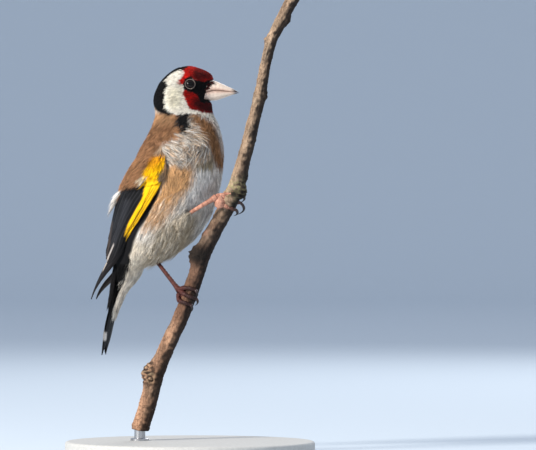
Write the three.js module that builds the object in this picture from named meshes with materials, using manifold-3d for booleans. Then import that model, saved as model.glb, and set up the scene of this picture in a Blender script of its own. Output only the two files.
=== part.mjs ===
/**
 * European goldfinch, life size, gripping a cut length of branch that a plain stand holds up.
 *
 * Millimetres, +Z up. The head looks along +X and the body is turned BODY_YAW towards -Y, so the
 * bird's right side is the near one. The origin is the centre of the base's underside.
 *
 * The bird is one surface of level sections, from the crown to the tail coverts, parted with thin
 * level cuts into head, neck, torso and tail root. Wings and tail are vanes laid over that surface.
 */
import * as THREE from 'three';
import * as BufferGeometryUtils from 'three/addons/utils/BufferGeometryUtils.js';
import Module from 'manifold-3d';

const wasm = await Module();
wasm.setup();

// Driving dimensions: gaps and cuts
const GAP = 0.3;
const SIMPLIFY = 0.015;
const VANE_SIMPLIFY = 0.05;
const NECK_TOP = 138;
const NECK_BOTTOM = 127;
const TORSO_BOTTOM = 76;
const TAIL_ROOT_BOTTOM = 69;

// Driving dimensions: stance
const BODY_YAW = 30;
const HEAD_YAW_FULL = 141;
const BODY_YAW_FULL = 126;
const HEAD_MIDDLE_Y = 1.2;
const BODY_MIDDLE = { x: -7.3, y: 4 };

/**
 * Level sections of the bird: height, back and front outline as seen along +Y, and half-width
 * across the body.
 */
const BODY_STATIONS = [
  { z: 156.3, back: -1.2, front: 0.4, side: 0.8 },
  { z: 155.4, back: -5.0, front: 3.8, side: 3.7 },
  { z: 153.4, back: -8.2, front: 8.2, side: 6.1 },
  { z: 150.4, back: -11.6, front: 10.2, side: 7.7 },
  { z: 146.4, back: -13.8, front: 9.2, side: 8.5 },
  { z: 142.4, back: -15.0, front: 9.2, side: 8.9 },
  { z: 137.0, back: -14.3, front: 9.8, side: 10.2 },
  { z: 132.4, back: -15.2, front: 11.8, side: 12.4 },
  { z: 127.6, back: -17.9, front: 13.3, side: 14.9 },
  { z: 122.1, back: -21.1, front: 14.0, side: 17.1 },
  { z: 116.5, back: -23.4, front: 13.8, side: 18.4 },
  { z: 106.2, back: -27.4, front: 12.4, side: 19.0 },
  { z: 96.0, back: -28.8, front: 9.0, side: 17.2 },
  { z: 89.6, back: -29.7, front: 5.0, side: 14.9 },
  { z: 84.5, back: -30.3, front: 0.3, side: 12.4 },
  { z: 78.2, back: -31.2, front: -10.0, side: 8.6 },
  { z: 75.4, back: -31.6, front: -17.9, side: 6.9 },
  { z: 71.5, back: -32.3, front: -20.0, side: 5.4 },
  { z: 65.0, back: -33.0, front: -24.2, side: 4.0 },
];
const HEAD_TAPER = 0.3;
const CROWN_TOP = 156.3;
const CROWN_BASE = 152;
const CROWN_RINGS = 5;
const HEAD_RING_STEP = 2;
const BODY_RING_STEP = 3.2;
const HEAD_SIDES = 26;
const BODY_SIDES = 28;

// Driving dimensions: bill
const BILL = {
  tip: { x: 19.6, z: 145.4 },
  upperRoot: 6.8,
  lowerRoot: 5.4,
  culmen: [[5.0, 151.2], [9.76, 150.2], [14.5, 148.2], [17.6, 146.7], [19.6, 145.4]],
  keel: [[5.0, 142.0], [10.6, 142.3], [13.1, 143.1], [16.5, 144.3], [19.6, 145.3]],
  mouth: [[5.0, 145.6], [7.3, 145.8], [9.2, 146.2], [11.1, 146.2], [14.6, 145.9], [19.6, 145.35]],
  halfWidth: [[5.0, 3.5], [9.0, 3.4], [12.0, 2.75], [15.0, 1.8], [18.0, 0.75], [19.6, 0.12]],
  lowerShare: 0.9,
  mouthGap: 0.3,
  rings: 7,
  arch: 8,
};
const NOSTRIL = { x: 10.3, z: 148.4, radius: 0.42 };

// Driving dimensions: eyes
const EYE = { x: 0.16, z: 148.6, radius: 2.2, depth: 1.25, lidRadius: 2.12, lidTube: 0.27 };

// Driving dimensions: wings, in degrees round the body from its front and millimetres of height
const WING_EDGE = [
  { z: 124, lead: 88, rear: 112 },
  { z: 116, lead: 76, rear: 130 },
  { z: 107, lead: 74, rear: 148 },
  { z: 100, lead: 78, rear: 156 },
  { z: 89.6, lead: 86, rear: 162 },
  { z: 82.2, lead: 77, rear: 161 },
  { z: 78.4, lead: 77, rear: 160 },
  { z: 74, lead: 98, rear: 158 },
  { z: 69.6, lead: 120, rear: 157 },
  { z: 65, lead: 142, rear: 156 },
  { z: 60, lead: 147, rear: 155 },
];
const WING_BED = [
  { z: 100, back: -29.4, front: 10.6, side: 18.2 },
  { z: 89.6, back: -31.9, front: 3.5, side: 13.8 },
  { z: 77.6, back: -35.4, front: -13.0, side: 8.8 },
  { z: 70, back: -38.5, front: -19.5, side: 6.4 },
  { z: 63.6, back: -40.8, front: -24.5, side: 5.0 },
  { z: 55, back: -43.4, front: -29.0, side: 3.6 },
];
const WING_BED_DEPTH = 1.3;
const WING_CLEARANCE = 0.45;
const WING_PAD = { top: 120.5, bottom: 93, lead: 0.06, rear: 0.9, thick: 0.9, along: 6, across: 4 };

/** Where along a vane its sections lie, from root to tip. */
const LONG_VANE = [0, 0.3, 0.62, 0.88, 1];
const SHORT_VANE = [0, 0.4, 0.8, 1];

/** Rows of wing vanes: root and tip height, chord share at root and tip, width, lift and count. */
const WING_ROWS = [
  {
    name: 'primaries', count: 6, steps: LONG_VANE, thick: 0.5,
    rootZ: [104, 101], tipZ: [63.0, 76.5], rootChord: [0.07, 0.34], tipChord: [0.5, 0.42],
    width: [3.8, 5.0], lift: [0.1, 0.75], tipLift: [0.1, 0.6], tilt: 0.22,
  },
  {
    name: 'secondaries', count: 4, steps: SHORT_VANE, thick: 0.5,
    rootZ: [104, 103], tipZ: [76, 80], rootChord: [0.32, 0.66], tipChord: [0.5, 0.84],
    width: [5.2, 6.0], lift: [0.7, 0.85], tipLift: [0.65, 0.8], tilt: 0.22,
  },
  {
    name: 'tertials', count: 3, steps: SHORT_VANE, thick: 0.55,
    rootZ: [107, 106], tipZ: [82.5, 89.5], rootChord: [0.66, 0.86], tipChord: [0.76, 0.9],
    width: [6.2, 6.0], lift: [0.8, 0.9], tipLift: [1.05, 1.35], tilt: 0.2,
  },
  {
    name: 'alula', count: 2, steps: SHORT_VANE, thick: 0.5,
    rootZ: [112.5, 111], tipZ: [101.5, 104.5], rootChord: [0.05, 0.09], tipChord: [0.1, 0.14],
    width: [2.8, 2.8], lift: [0.65, 0.9], tipLift: [0.8, 1.1], tilt: 0.15,
  },
  {
    name: 'greater_coverts', count: 5, steps: SHORT_VANE, thick: 0.5,
    rootZ: [113, 110], tipZ: [103, 98.5], rootChord: [0.15, 0.86], tipChord: [0.15, 0.86],
    width: [6.0, 6.6], lift: [0.72, 0.8], tipLift: [1.35, 1.5], tilt: 0.22,
  },
  {
    name: 'median_coverts', count: 5, steps: SHORT_VANE, thick: 0.5,
    rootZ: [117, 114.5], tipZ: [109.8, 106.5], rootChord: [0.1, 0.9], tipChord: [0.1, 0.9],
    width: [5.4, 5.8], lift: [0.75, 0.85], tipLift: [1.75, 1.9], tilt: 0.2,
  },
  {
    name: 'lesser_coverts', count: 4, steps: SHORT_VANE, thick: 0.5,
    rootZ: [120, 118.5], tipZ: [113.6, 111.5], rootChord: [0.12, 0.88], tipChord: [0.12, 0.88],
    width: [6.0, 6.2], lift: [0.7, 0.8], tipLift: [2.0, 2.1], tilt: 0.18,
  },
];

// Driving dimensions: tail
const TAIL = {
  root: { x: -25.8, y: 14.6, z: 81 },
  tip: { x: -35.3, y: 19.8, z: 40.2 },
  yaw: 20,
  pairs: 6,
  width: 5.4,
  rootSpread: 0.5,
  tipSpread: 2.0,
  layer: 0.27,
  thick: 0.5,
  notch: 3.6,
  start: 10,
};
const TAIL_COVERTS = { count: 5, width: 4.2, thick: 0.6 };

// Driving dimensions: branch, its middle line seen along +Y and its radius at that height
const BRANCH = [
  { x: 42.8, z: 185.2, r: 2.6 },
  { x: 32.8, z: 166.0, r: 2.15 },
  { x: 29.4, z: 151.6, r: 2.1 },
  { x: 26.8, z: 139.2, r: 2.4 },
  { x: 19.0, z: 109.6, r: 2.9 },
  { x: 14.8, z: 99.6, r: 3.1 },
  { x: 6.4, z: 83.6, r: 3.15 },
  { x: 1.5, z: 69.2, r: 3.1 },
  { x: -3.8, z: 55.2, r: 3.0 },
  { x: -12.0, z: 37.2, r: 3.2 },
  { x: -17.2, z: 19.8, r: 3.4 },
  { x: -20.2, z: 10.4, r: 3.5 },
];
const BRANCH_NEAR = { y: -7, z: 102, lean: 0.12 };
const BRANCH_SIDES = 12;
const BRANCH_RINGS = 34;
/** Knots and buds: height, angle round the branch from its left side, rise, reach along and around. */
const KNOTS = [
  { z: 174.4, angle: 180, rise: 0.9, along: 2.0, around: 45 },
  { z: 165.2, angle: 0, rise: 0.8, along: 1.6, around: 40 },
  { z: 144.4, angle: 175, rise: 0.8, along: 2.2, around: 45 },
  { z: 112.2, angle: 150, rise: 0.7, along: 2.4, around: 60 },
  { z: 87.6, angle: 15, rise: 0.7, along: 1.6, around: 40 },
  { z: 80.6, angle: 30, rise: 1.0, along: 2.6, around: 45 },
  { z: 32.4, angle: 10, rise: 2.4, along: 3.6, around: 55 },
];

// Driving dimensions: legs and feet
const TOE = { radius: 0.68, end: 0.52, sides: 5, steps: 6 };
const CLAW = { root: 0.52, sides: 5, steps: 5, clear: 0.28, tip: 0.1, droop: 2.6 };
const FEET = {
  right: {
    hip: { x: -5.5, y: -8.5, z: 91.5 },
    ankle: { x: 1.0, y: -14.4, z: 97.8 },
    padZ: 103.6,
    padAngle: 48,
  },
  left: {
    hip: { x: -17, y: 8.6, z: 82.5 },
    ankle: { x: -12.6, y: 7.4, z: 76.6 },
    padZ: 65.0,
    padAngle: 8,
  },
};
/** Toes: start and end angle past the pad, drift along the branch, and the claw's sweep and bow. */
const TOES = [
  { name: 'inner', from: 8, to: 112, start: 0.8, end: 2.4, claw: 60, bow: 4.4 },
  { name: 'middle', from: 10, to: 136, start: 0.0, end: -0.6, claw: 62, bow: 5.0 },
  { name: 'outer', from: 8, to: 116, start: -0.8, end: -3.8, claw: 60, bow: 4.4 },
  { name: 'hind', from: -12, to: -104, start: -0.4, end: -1.6, claw: -70, bow: 3.6 },
];
const THIGH = { hipRadius: 3.6, ankleRadius: 1.25 };
const SHANK = { top: 0.95, middle: 0.72, bottom: 0.85 };

// Driving dimensions: stand
const BASE = { radius: 50, height: 6, chamfer: 1.2, sides: 36 };
const ROD = { radius: 2.2, sides: 16 };

const COLOURS = {
  face: 0xb5271c,
  bill: 0xe6cfc4,
  eye: 0x0a0807,
  neck: 0xb08a66,
  torso: 0xcbb79c,
  wing: 0x1b1917,
  tail: 0x2b2825,
  leg: 0xb98a7c,
  claw: 0x4a3a33,
  bark: 0xa88d6d,
  base: 0xe9e5dc,
  rod: 0x8f9194,
};

const DEGREE = Math.PI / 180;

/** Seeded random numbers in 0..1. */
function randomFrom(seed) {
  let state = seed;
  return () => {
    state = (state + 0x6d2b79f5) | 0;
    let mixed = Math.imul(state ^ (state >>> 15), 1 | state);
    mixed = (mixed + Math.imul(mixed ^ (mixed >>> 7), 61 | mixed)) ^ mixed;
    return ((mixed ^ (mixed >>> 14)) >>> 0) / 4294967296;
  };
}

function mix(a, b, share) {
  return a + (b - a) * share;
}

function smoothStep(low, high, value) {
  const t = Math.min(1, Math.max(0, (value - low) / (high - low)));
  return t * t * (3 - 2 * t);
}

/** A smooth function through pairs [where, value], sorted by where. */
function smoothThrough(pairs) {
  const sorted = [...pairs].sort((a, b) => a[0] - b[0]);
  const last = sorted.length - 1;
  const slopeAt = (i) => {
    const before = Math.max(0, i - 1);
    const after = Math.min(last, i + 1);
    return (sorted[after][1] - sorted[before][1]) / (sorted[after][0] - sorted[before][0]);
  };
  return (where) => {
    const clamped = Math.min(sorted[last][0], Math.max(sorted[0][0], where));
    let i = 0;
    while (i < last - 1 && clamped > sorted[i + 1][0]) i += 1;
    const span = sorted[i + 1][0] - sorted[i][0];
    const t = (clamped - sorted[i][0]) / span;
    const t2 = t * t;
    const t3 = t2 * t;
    return (2 * t3 - 3 * t2 + 1) * sorted[i][1] + (t3 - 2 * t2 + t) * span * slopeAt(i)
      + (3 * t2 - 2 * t3) * sorted[i + 1][1] + (t3 - t2) * span * slopeAt(i + 1);
  };
}

function stationFunctions(stations, keys) {
  const functions = {};
  for (const key of keys) {
    functions[key] = smoothThrough(stations.map((station) => [station.z, station[key]]));
  }
  return functions;
}

const bodyAt = stationFunctions(BODY_STATIONS, ['back', 'front', 'side']);
const bedAt = stationFunctions(
  [...BODY_STATIONS.filter((station) => station.z > 101), ...WING_BED],
  ['back', 'front', 'side'],
);
const wingEdgeAt = stationFunctions(WING_EDGE, ['lead', 'rear']);

/** The level section at a height: middle, fore-and-aft and sideways half-sizes, yaw and taper. */
function sectionAt(z, outline) {
  const turned = 1 - smoothStep(BODY_YAW_FULL, HEAD_YAW_FULL, z);
  const yaw = BODY_YAW * turned * DEGREE;
  const side = Math.max(0.05, outline.side(z));
  const halfSeen = (outline.front(z) - outline.back(z)) / 2;
  const x = (outline.front(z) + outline.back(z)) / 2;
  const seenSide = side * Math.sin(yaw);
  const depth = Math.sqrt(Math.max(0.01, halfSeen ** 2 - seenSide ** 2)) / Math.cos(yaw);
  const bodyY = BODY_MIDDLE.y - (x - BODY_MIDDLE.x) * Math.tan(BODY_YAW * DEGREE);
  return { x, y: mix(HEAD_MIDDLE_Y, bodyY, turned), depth, side, yaw, taper: HEAD_TAPER * (1 - turned) };
}

/** A point of a level section: the angle runs from the front (0) over the right side (90). */
function sectionPoint(z, angle, outline, grow) {
  const section = sectionAt(z, outline);
  const forward = (section.depth + grow) * Math.cos(angle);
  const narrow = 1 - section.taper * ((1 + Math.cos(angle)) / 2) ** 2;
  const right = (section.side + grow) * Math.sin(angle) * narrow;
  return new THREE.Vector3(
    section.x + forward * Math.cos(section.yaw) - right * Math.sin(section.yaw),
    section.y - forward * Math.sin(section.yaw) - right * Math.cos(section.yaw),
    z,
  );
}

/** How deep the wing's bed is sunk in the body there, from 0 to 1. */
function bedShare(z, angle) {
  const degrees = Math.abs(angle) / DEGREE;
  const lead = wingEdgeAt.lead(z);
  const rear = wingEdgeAt.rear(z);
  const around = smoothStep(lead - 7, lead + 5, degrees) * (1 - smoothStep(rear - 4, rear + 10, degrees));
  return around * smoothStep(86, 95, z) * (1 - smoothStep(118, 124, z));
}

function bodyPoint(z, angle, grow = 0) {
  const wrapped = Math.atan2(Math.sin(angle), Math.cos(angle));
  return sectionPoint(z, angle, bodyAt, grow - WING_BED_DEPTH * bedShare(z, wrapped));
}

/** A closed mesh from rings of equal length, with a flat fan at each end. */
function loft(rings) {
  const count = rings[0].length;
  const positions = rings.flat().flatMap((point) => [point.x, point.y, point.z]);
  const indices = [];
  for (let i = 0; i < rings.length - 1; i += 1) {
    for (let j = 0; j < count; j += 1) {
      const next = (j + 1) % count;
      const a = i * count + j;
      const b = i * count + next;
      indices.push(a, b, b + count, a, b + count, a + count);
    }
  }
  for (const end of [0, rings.length - 1]) {
    const middle = new THREE.Vector3();
    rings[end].forEach((point) => middle.addScaledVector(point, 1 / count));
    positions.push(middle.x, middle.y, middle.z);
    const centre = positions.length / 3 - 1;
    for (let j = 0; j < count; j += 1) {
      const a = end * count + j;
      const b = end * count + ((j + 1) % count);
      indices.push(...(end === 0 ? [b, a, centre] : [a, b, centre]));
    }
  }
  return closedGeometry(positions, indices);
}

/** A geometry from positions and triangles, turned to face outwards. */
function closedGeometry(positions, indices) {
  let volume = 0;
  const corner = (i) => new THREE.Vector3().fromArray(positions, 3 * i);
  for (let i = 0; i < indices.length; i += 3) {
    volume += corner(indices[i]).dot(corner(indices[i + 1]).cross(corner(indices[i + 2])));
  }
  if (volume < 0) indices.reverse();
  const geometry = new THREE.BufferGeometry();
  geometry.setAttribute('position', new THREE.Float32BufferAttribute(positions, 3));
  geometry.setIndex(indices);
  return geometry;
}

/** A closed solid from a closed geometry. */
function solid(geometry) {
  const bare = geometry.clone();
  for (const name of Object.keys(bare.attributes)) {
    if (name !== 'position') bare.deleteAttribute(name);
  }
  const merged = BufferGeometryUtils.mergeVertices(bare, 1e-5);
  return new wasm.Manifold(new wasm.Mesh({
    numProp: 3,
    vertProperties: new Float32Array(merged.attributes.position.array),
    triVerts: new Uint32Array(merged.index.array),
  }));
}

/** The largest closed surface of a solid, as a geometry: loose scraps and sealed hollows go. */
function geometryOf(manifold, tolerance = SIMPLIFY) {
  const mesh = manifold.simplify(tolerance).getMesh();
  const parent = Array.from({ length: mesh.vertProperties.length / 3 }, (_, i) => i);
  const rootOf = (i) => {
    let at = i;
    while (parent[at] !== at) {
      parent[at] = parent[parent[at]];
      at = parent[at];
    }
    return at;
  };
  const triangles = [];
  for (let i = 0; i < mesh.triVerts.length; i += 3) {
    const triangle = [...mesh.triVerts.slice(i, i + 3)];
    triangles.push(triangle);
    parent[rootOf(triangle[0])] = rootOf(triangle[1]);
    parent[rootOf(triangle[1])] = rootOf(triangle[2]);
  }
  const corner = (i) => new THREE.Vector3().fromArray(mesh.vertProperties, 3 * i);
  const volumes = new Map();
  for (const [i, j, k] of triangles) {
    const volume = corner(i).dot(corner(j).cross(corner(k)));
    volumes.set(rootOf(i), (volumes.get(rootOf(i)) ?? 0) + volume);
  }
  const [largest] = [...volumes.entries()].sort((first, second) => second[1] - first[1])[0];
  const geometry = new THREE.BufferGeometry();
  geometry.setAttribute('position', new THREE.Float32BufferAttribute(mesh.vertProperties, 3));
  geometry.setIndex(triangles.filter(([i]) => rootOf(i) === largest).flat());
  return geometry;
}

function fuse(geometries) {
  return geometries.map(solid).reduce((joined, piece) => joined.add(piece));
}

/** Heights from low to high in equal steps no longer than step. */
function heights(low, high, step) {
  const count = Math.ceil((high - low) / step);
  return Array.from({ length: count + 1 }, (_, i) => mix(low, high, i / count));
}

/** The stretch of the bird between the given heights, grown by a margin. */
function bodyStretch(levels, sides, grow = 0) {
  return loft(levels.map((z) => Array.from(
    { length: sides },
    (_, j) => bodyPoint(z, (2 * Math.PI * j) / sides, grow),
  )));
}

function colouredMesh(name, geometry, colour, roughness = 0.8, metalness = 0) {
  const mesh = new THREE.Mesh(geometry, new THREE.MeshStandardMaterial({ color: colour, roughness, metalness }));
  mesh.name = name;
  return mesh;
}

/** A round bar along points, with a radius at each, by rings square to its path. */
function bar(points, radii, sides) {
  const curve = new THREE.CatmullRomCurve3(points);
  const steps = radii.length - 1;
  const frames = curve.computeFrenetFrames(steps, false);
  const rings = radii.map((radius, i) => {
    const middle = curve.getPointAt(i / steps);
    return Array.from({ length: sides }, (_, j) => {
      const angle = (2 * Math.PI * j) / sides;
      return middle.clone()
        .addScaledVector(frames.normals[i], radius * Math.cos(angle))
        .addScaledVector(frames.binormals[i], radius * Math.sin(angle));
    });
  });
  return loft(rings);
}

/**
 * A thin vane on a sheet. place(u, v, lift) gives a point of the sheet, path(t) the vane's middle
 * line in sheet coordinates, and both faces are split into triangles alike.
 */
function vane(place, path, { width, thick, lift, tilt, steps }) {
  const small = 1e-3;
  const rows = steps.map((t) => {
    const at = path(t);
    const ahead = path(Math.min(1, t + small));
    const behind = path(Math.max(0, t - small));
    const along = place(ahead.u, ahead.v, 0).sub(place(behind.u, behind.v, 0)).normalize();
    const stepU = place(at.u + small, at.v, 0).sub(place(at.u - small, at.v, 0)).divideScalar(2 * small);
    const stepV = place(at.u, at.v + small, 0).sub(place(at.u, at.v - small, 0)).divideScalar(2 * small);
    const normal = stepU.clone().cross(stepV).normalize();
    const across = normal.clone().cross(along).normalize();
    const e = stepU.dot(stepU);
    const f = stepU.dot(stepV);
    const g = stepV.dot(stepV);
    const determinant = e * g - f * f;
    const du = (g * across.dot(stepU) - f * across.dot(stepV)) / determinant;
    const dv = (e * across.dot(stepV) - f * across.dot(stepU)) / determinant;
    const half = (width * vaneProfile(t)) / 2;
    const wall = thick * mix(1, 0.62, smoothStep(0.75, 1, t));
    const corner = (side, height) => place(at.u + du * half * side, at.v + dv * half * side, height);
    const low = (side) => lift(t) + (tilt * side) / 2;
    return [corner(-1, low(-1) + wall), corner(1, low(1) + wall), corner(1, low(1)), corner(-1, low(-1))];
  });
  return vaneGeometry(rows);
}

/** Width of a vane along its length: narrow root, full middle, rounded tip. */
function vaneProfile(t) {
  const root = mix(0.55, 1, smoothStep(0, 0.35, t));
  const tip = Math.sqrt(Math.max(0.06, 1 - smoothStep(0.62, 1.04, t)));
  return root * tip;
}

/** A closed plate from rows of four corners: top left, top right, bottom right, bottom left. */
function vaneGeometry(rows) {
  const positions = rows.flat().flatMap((point) => [point.x, point.y, point.z]);
  const indices = [];
  const quad = (a, b, c, d) => indices.push(a, b, c, a, c, d);
  for (let i = 0; i < rows.length - 1; i += 1) {
    const near = 4 * i;
    const far = near + 4;
    quad(near, near + 1, far + 1, far);
    indices.push(near + 3, far + 2, near + 2, near + 3, far + 3, far + 2);
    quad(near + 1, near + 2, far + 2, far + 1);
    quad(near + 3, near, far, far + 3);
  }
  const last = 4 * (rows.length - 1);
  quad(0, 3, 2, 1);
  quad(last, last + 1, last + 2, last + 3);
  return closedGeometry(positions, indices);
}

// Head: skull stretch with eye sockets, lids and the bill's socket
function billLoft(upper, grow) {
  const culmen = smoothThrough(BILL.culmen);
  const keel = smoothThrough(BILL.keel);
  const mouth = smoothThrough(BILL.mouth);
  const halfWidth = smoothThrough(BILL.halfWidth);
  const root = (upper ? BILL.upperRoot : BILL.lowerRoot) - grow;
  const rings = [];
  for (let i = 0; i <= BILL.rings; i += 1) {
    const x = mix(root, BILL.tip.x + grow, 1 - (1 - i / BILL.rings) ** 1.15);
    const seam = mouth(x) + (upper ? 1 : -1) * (BILL.mouthGap / 2 - grow);
    const far = upper ? culmen(x) + grow : keel(x) - grow;
    const reach = upper ? Math.max(far - seam, 0.12) : Math.min(far - seam, -0.12);
    const half = halfWidth(x) * (upper ? 1 : BILL.lowerShare) + grow;
    const ring = [];
    for (let j = 0; j <= BILL.arch; j += 1) {
      const angle = (Math.PI * j) / BILL.arch;
      const y = HEAD_MIDDLE_Y + half * Math.cos(angle);
      ring.push(new THREE.Vector3(x, y, seam + reach * Math.sin(angle) ** 0.85));
    }
    rings.push(ring);
  }
  return loft(rings);
}

function eyePlace(side) {
  const section = sectionAt(EYE.z, bodyAt);
  const angle = Math.acos((EYE.x - section.x) / section.depth);
  const surface = sectionPoint(EYE.z, side * angle, bodyAt, 0);
  const narrow = Math.atan2(0.22, 1);
  const outward = new THREE.Vector3(Math.sin(narrow), -side * Math.cos(narrow), 0.1).normalize();
  return { outward, centre: surface.clone().addScaledVector(outward, -EYE.depth), surface };
}

function eyeGeometry(side) {
  const { centre } = eyePlace(side);
  return new THREE.SphereGeometry(EYE.radius, 14, 10).translate(centre.x, centre.y, centre.z);
}

function headGeometry() {
  const crown = Array.from(
    { length: CROWN_RINGS + 1 },
    (_, i) => mix(CROWN_BASE, CROWN_TOP, Math.sin((i / CROWN_RINGS) * 90 * DEGREE)),
  );
  const levels = [...heights(NECK_TOP + GAP / 2, CROWN_BASE, HEAD_RING_STEP), ...crown.slice(1)];
  let head = solid(bodyStretch(levels, HEAD_SIDES));
  for (const side of [1, -1]) {
    const { centre, outward, surface } = eyePlace(side);
    const turn = new THREE.Quaternion().setFromUnitVectors(new THREE.Vector3(0, 0, 1), outward);
    const lid = new THREE.TorusGeometry(EYE.lidRadius, EYE.lidTube, 5, 14).applyQuaternion(turn);
    lid.translate(surface.x, surface.y, surface.z);
    const socket = new THREE.SphereGeometry(EYE.radius + GAP, 12, 8);
    socket.translate(centre.x, centre.y, centre.z);
    head = head.add(solid(lid)).subtract(solid(socket));
  }
  for (const upper of [true, false]) head = head.subtract(solid(billLoft(upper, GAP)));
  return geometryOf(head);
}

function billUpperGeometry() {
  let bill = solid(billLoft(true, 0));
  for (const side of [1, -1]) {
    const pit = new THREE.SphereGeometry(NOSTRIL.radius, 8, 6);
    const half = smoothThrough(BILL.halfWidth)(NOSTRIL.x) * 0.82;
    pit.scale(1.5, 1, 0.9).translate(NOSTRIL.x, HEAD_MIDDLE_Y - side * half, NOSTRIL.z);
    bill = bill.subtract(solid(pit));
  }
  return geometryOf(bill);
}

// Wings: a thin pad on the body with rows of overlapping vanes
/** A point of the wing's sheet: height, chord share and lift above the wing's bed. */
function wingSheet(side) {
  return (z, chord, lift) => {
    const angle = mix(wingEdgeAt.lead(z), wingEdgeAt.rear(z), chord) * DEGREE;
    const outside = lift + WING_CLEARANCE - WING_BED_DEPTH;
    const base = sectionPoint(z, side * angle, bedAt, 0);
    const small = 0.05;
    const around = sectionPoint(z, side * (angle + small), bedAt, 0)
      .sub(sectionPoint(z, side * (angle - small), bedAt, 0));
    const down = sectionPoint(z - small, side * angle, bedAt, 0)
      .sub(sectionPoint(z + small, side * angle, bedAt, 0));
    const normal = around.cross(down).normalize().multiplyScalar(side);
    const section = sectionAt(z, bedAt);
    const outward = new THREE.Vector3(base.x - section.x, base.y - section.y, 0);
    if (normal.dot(outward) < 0) normal.negate();
    return base.addScaledVector(normal, outside);
  };
}

function wingPad(place) {
  const rings = [];
  for (let i = 0; i <= WING_PAD.along; i += 1) {
    const z = mix(WING_PAD.top, WING_PAD.bottom, i / WING_PAD.along);
    const chordAt = (j) => mix(WING_PAD.lead, WING_PAD.rear, j / WING_PAD.across);
    const ring = [];
    for (let j = 0; j <= WING_PAD.across; j += 1) ring.push(place(z, chordAt(j), WING_PAD.thick));
    for (let j = WING_PAD.across; j >= 0; j -= 1) ring.push(place(z, chordAt(j), 0));
    rings.push(ring);
  }
  return loft(rings);
}

function wingGeometry(side) {
  const random = randomFrom(side > 0 ? 11 : 23);
  const sheet = wingSheet(side);
  const place = (u, v, lift) => sheet(-u, v, lift);
  const pieces = [wingPad(sheet)];
  for (const row of WING_ROWS) {
    for (let k = 0; k < row.count; k += 1) {
      const share = row.count > 1 ? k / (row.count - 1) : 0.5;
      const jitter = () => (random() - 0.5);
      const rootZ = mix(row.rootZ[0], row.rootZ[1], share) + 0.6 * jitter();
      const tipZ = mix(row.tipZ[0], row.tipZ[1], share) + 0.8 * jitter();
      const rootChord = mix(row.rootChord[0], row.rootChord[1], share);
      const tipChord = mix(row.tipChord[0], row.tipChord[1], share) + 0.015 * jitter();
      const rootLift = mix(row.lift[0], row.lift[1], share);
      const tipLift = mix(row.tipLift[0], row.tipLift[1], share);
      pieces.push(vane(place, (t) => ({ u: -mix(rootZ, tipZ, t), v: mix(rootChord, tipChord, t) }), {
        width: mix(row.width[0], row.width[1], share) * (1 + 0.08 * jitter()),
        thick: row.thick,
        lift: (t) => mix(rootLift, tipLift, t),
        tilt: row.tilt,
        steps: row.steps,
      }));
    }
  }
  const torsoLevels = heights(TORSO_BOTTOM + GAP / 2, NECK_BOTTOM, BODY_RING_STEP);
  const body = solid(bodyStretch(torsoLevels, BODY_SIDES, GAP + VANE_SIMPLIFY));
  return geometryOf(fuse(pieces).subtract(body), VANE_SIMPLIFY);
}

// Tail: the root of the coverts with six pairs of rectrices and covert vanes
function tailGeometry() {
  const random = randomFrom(41);
  const root = new THREE.Vector3(TAIL.root.x, TAIL.root.y, TAIL.root.z);
  const axis = new THREE.Vector3(TAIL.tip.x, TAIL.tip.y, TAIL.tip.z).sub(root);
  const length = axis.length();
  axis.normalize();
  const yaw = TAIL.yaw * DEGREE;
  const right = new THREE.Vector3(-Math.sin(yaw), -Math.cos(yaw), 0);
  right.addScaledVector(axis, -right.dot(axis)).normalize();
  const under = axis.clone().cross(right).normalize();
  if (under.x < 0) under.negate();
  const place = (u, v, lift) => root.clone()
    .addScaledVector(axis, u).addScaledVector(right, v).addScaledVector(under, lift);
  const pieces = [bodyStretch(heights(TAIL_ROOT_BOTTOM, TORSO_BOTTOM - GAP / 2, 3), BODY_SIDES / 2)];
  for (let pair = 0; pair < TAIL.pairs; pair += 1) {
    for (const side of [1, -1]) {
      const share = pair / (TAIL.pairs - 1);
      const reach = length - TAIL.notch * (1 - share) ** 1.3 + 0.4 * (random() - 0.5);
      const from = side * TAIL.rootSpread * share;
      const to = side * (0.35 + TAIL.tipSpread * share);
      const level = TAIL.layer * pair - 0.7;
      pieces.push(vane(place, (t) => ({ u: mix(TAIL.start, reach, t), v: mix(from, to, t) }), {
        width: TAIL.width * (1 - 0.12 * share),
        thick: TAIL.thick,
        lift: (t) => level + 0.1 * t,
        tilt: side * -0.12,
        steps: LONG_VANE,
      }));
    }
  }
  for (const face of [1, -1]) {
    for (let k = 0; k < TAIL_COVERTS.count; k += 1) {
      const share = k / (TAIL_COVERTS.count - 1) - 0.5;
      const reach = (face > 0 ? 20.5 : 17) - 6 * Math.abs(share);
      pieces.push(vane(place, (t) => ({ u: mix(8.5, reach, t), v: mix(4.4, 3.6, t) * share }), {
        width: TAIL_COVERTS.width,
        thick: TAIL_COVERTS.thick,
        lift: (t) => face * mix((face > 0 ? 4.9 : 2.6) - 2 * Math.abs(share), 1.1, t) - (face > 0 ? 0 : 0.6),
        tilt: 0,
        steps: SHORT_VANE,
      }));
    }
  }
  return geometryOf(trimAbove(fuse(pieces), TORSO_BOTTOM - GAP / 2), VANE_SIMPLIFY);
}

/** What lies below a height, cut level. */
function trimAbove(manifold, z) {
  const box = new THREE.BoxGeometry(200, 200, 100).translate(0, 0, z + 50);
  return manifold.subtract(solid(box));
}

// Branch: a bar along its middle line, with knots and buds risen in its own surface
function branchPoint(x, z) {
  return new THREE.Vector3(x, BRANCH_NEAR.y + (BRANCH_NEAR.z - z) * BRANCH_NEAR.lean, z);
}

const branchMiddle = stationFunctions(BRANCH, ['x', 'r']);

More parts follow.
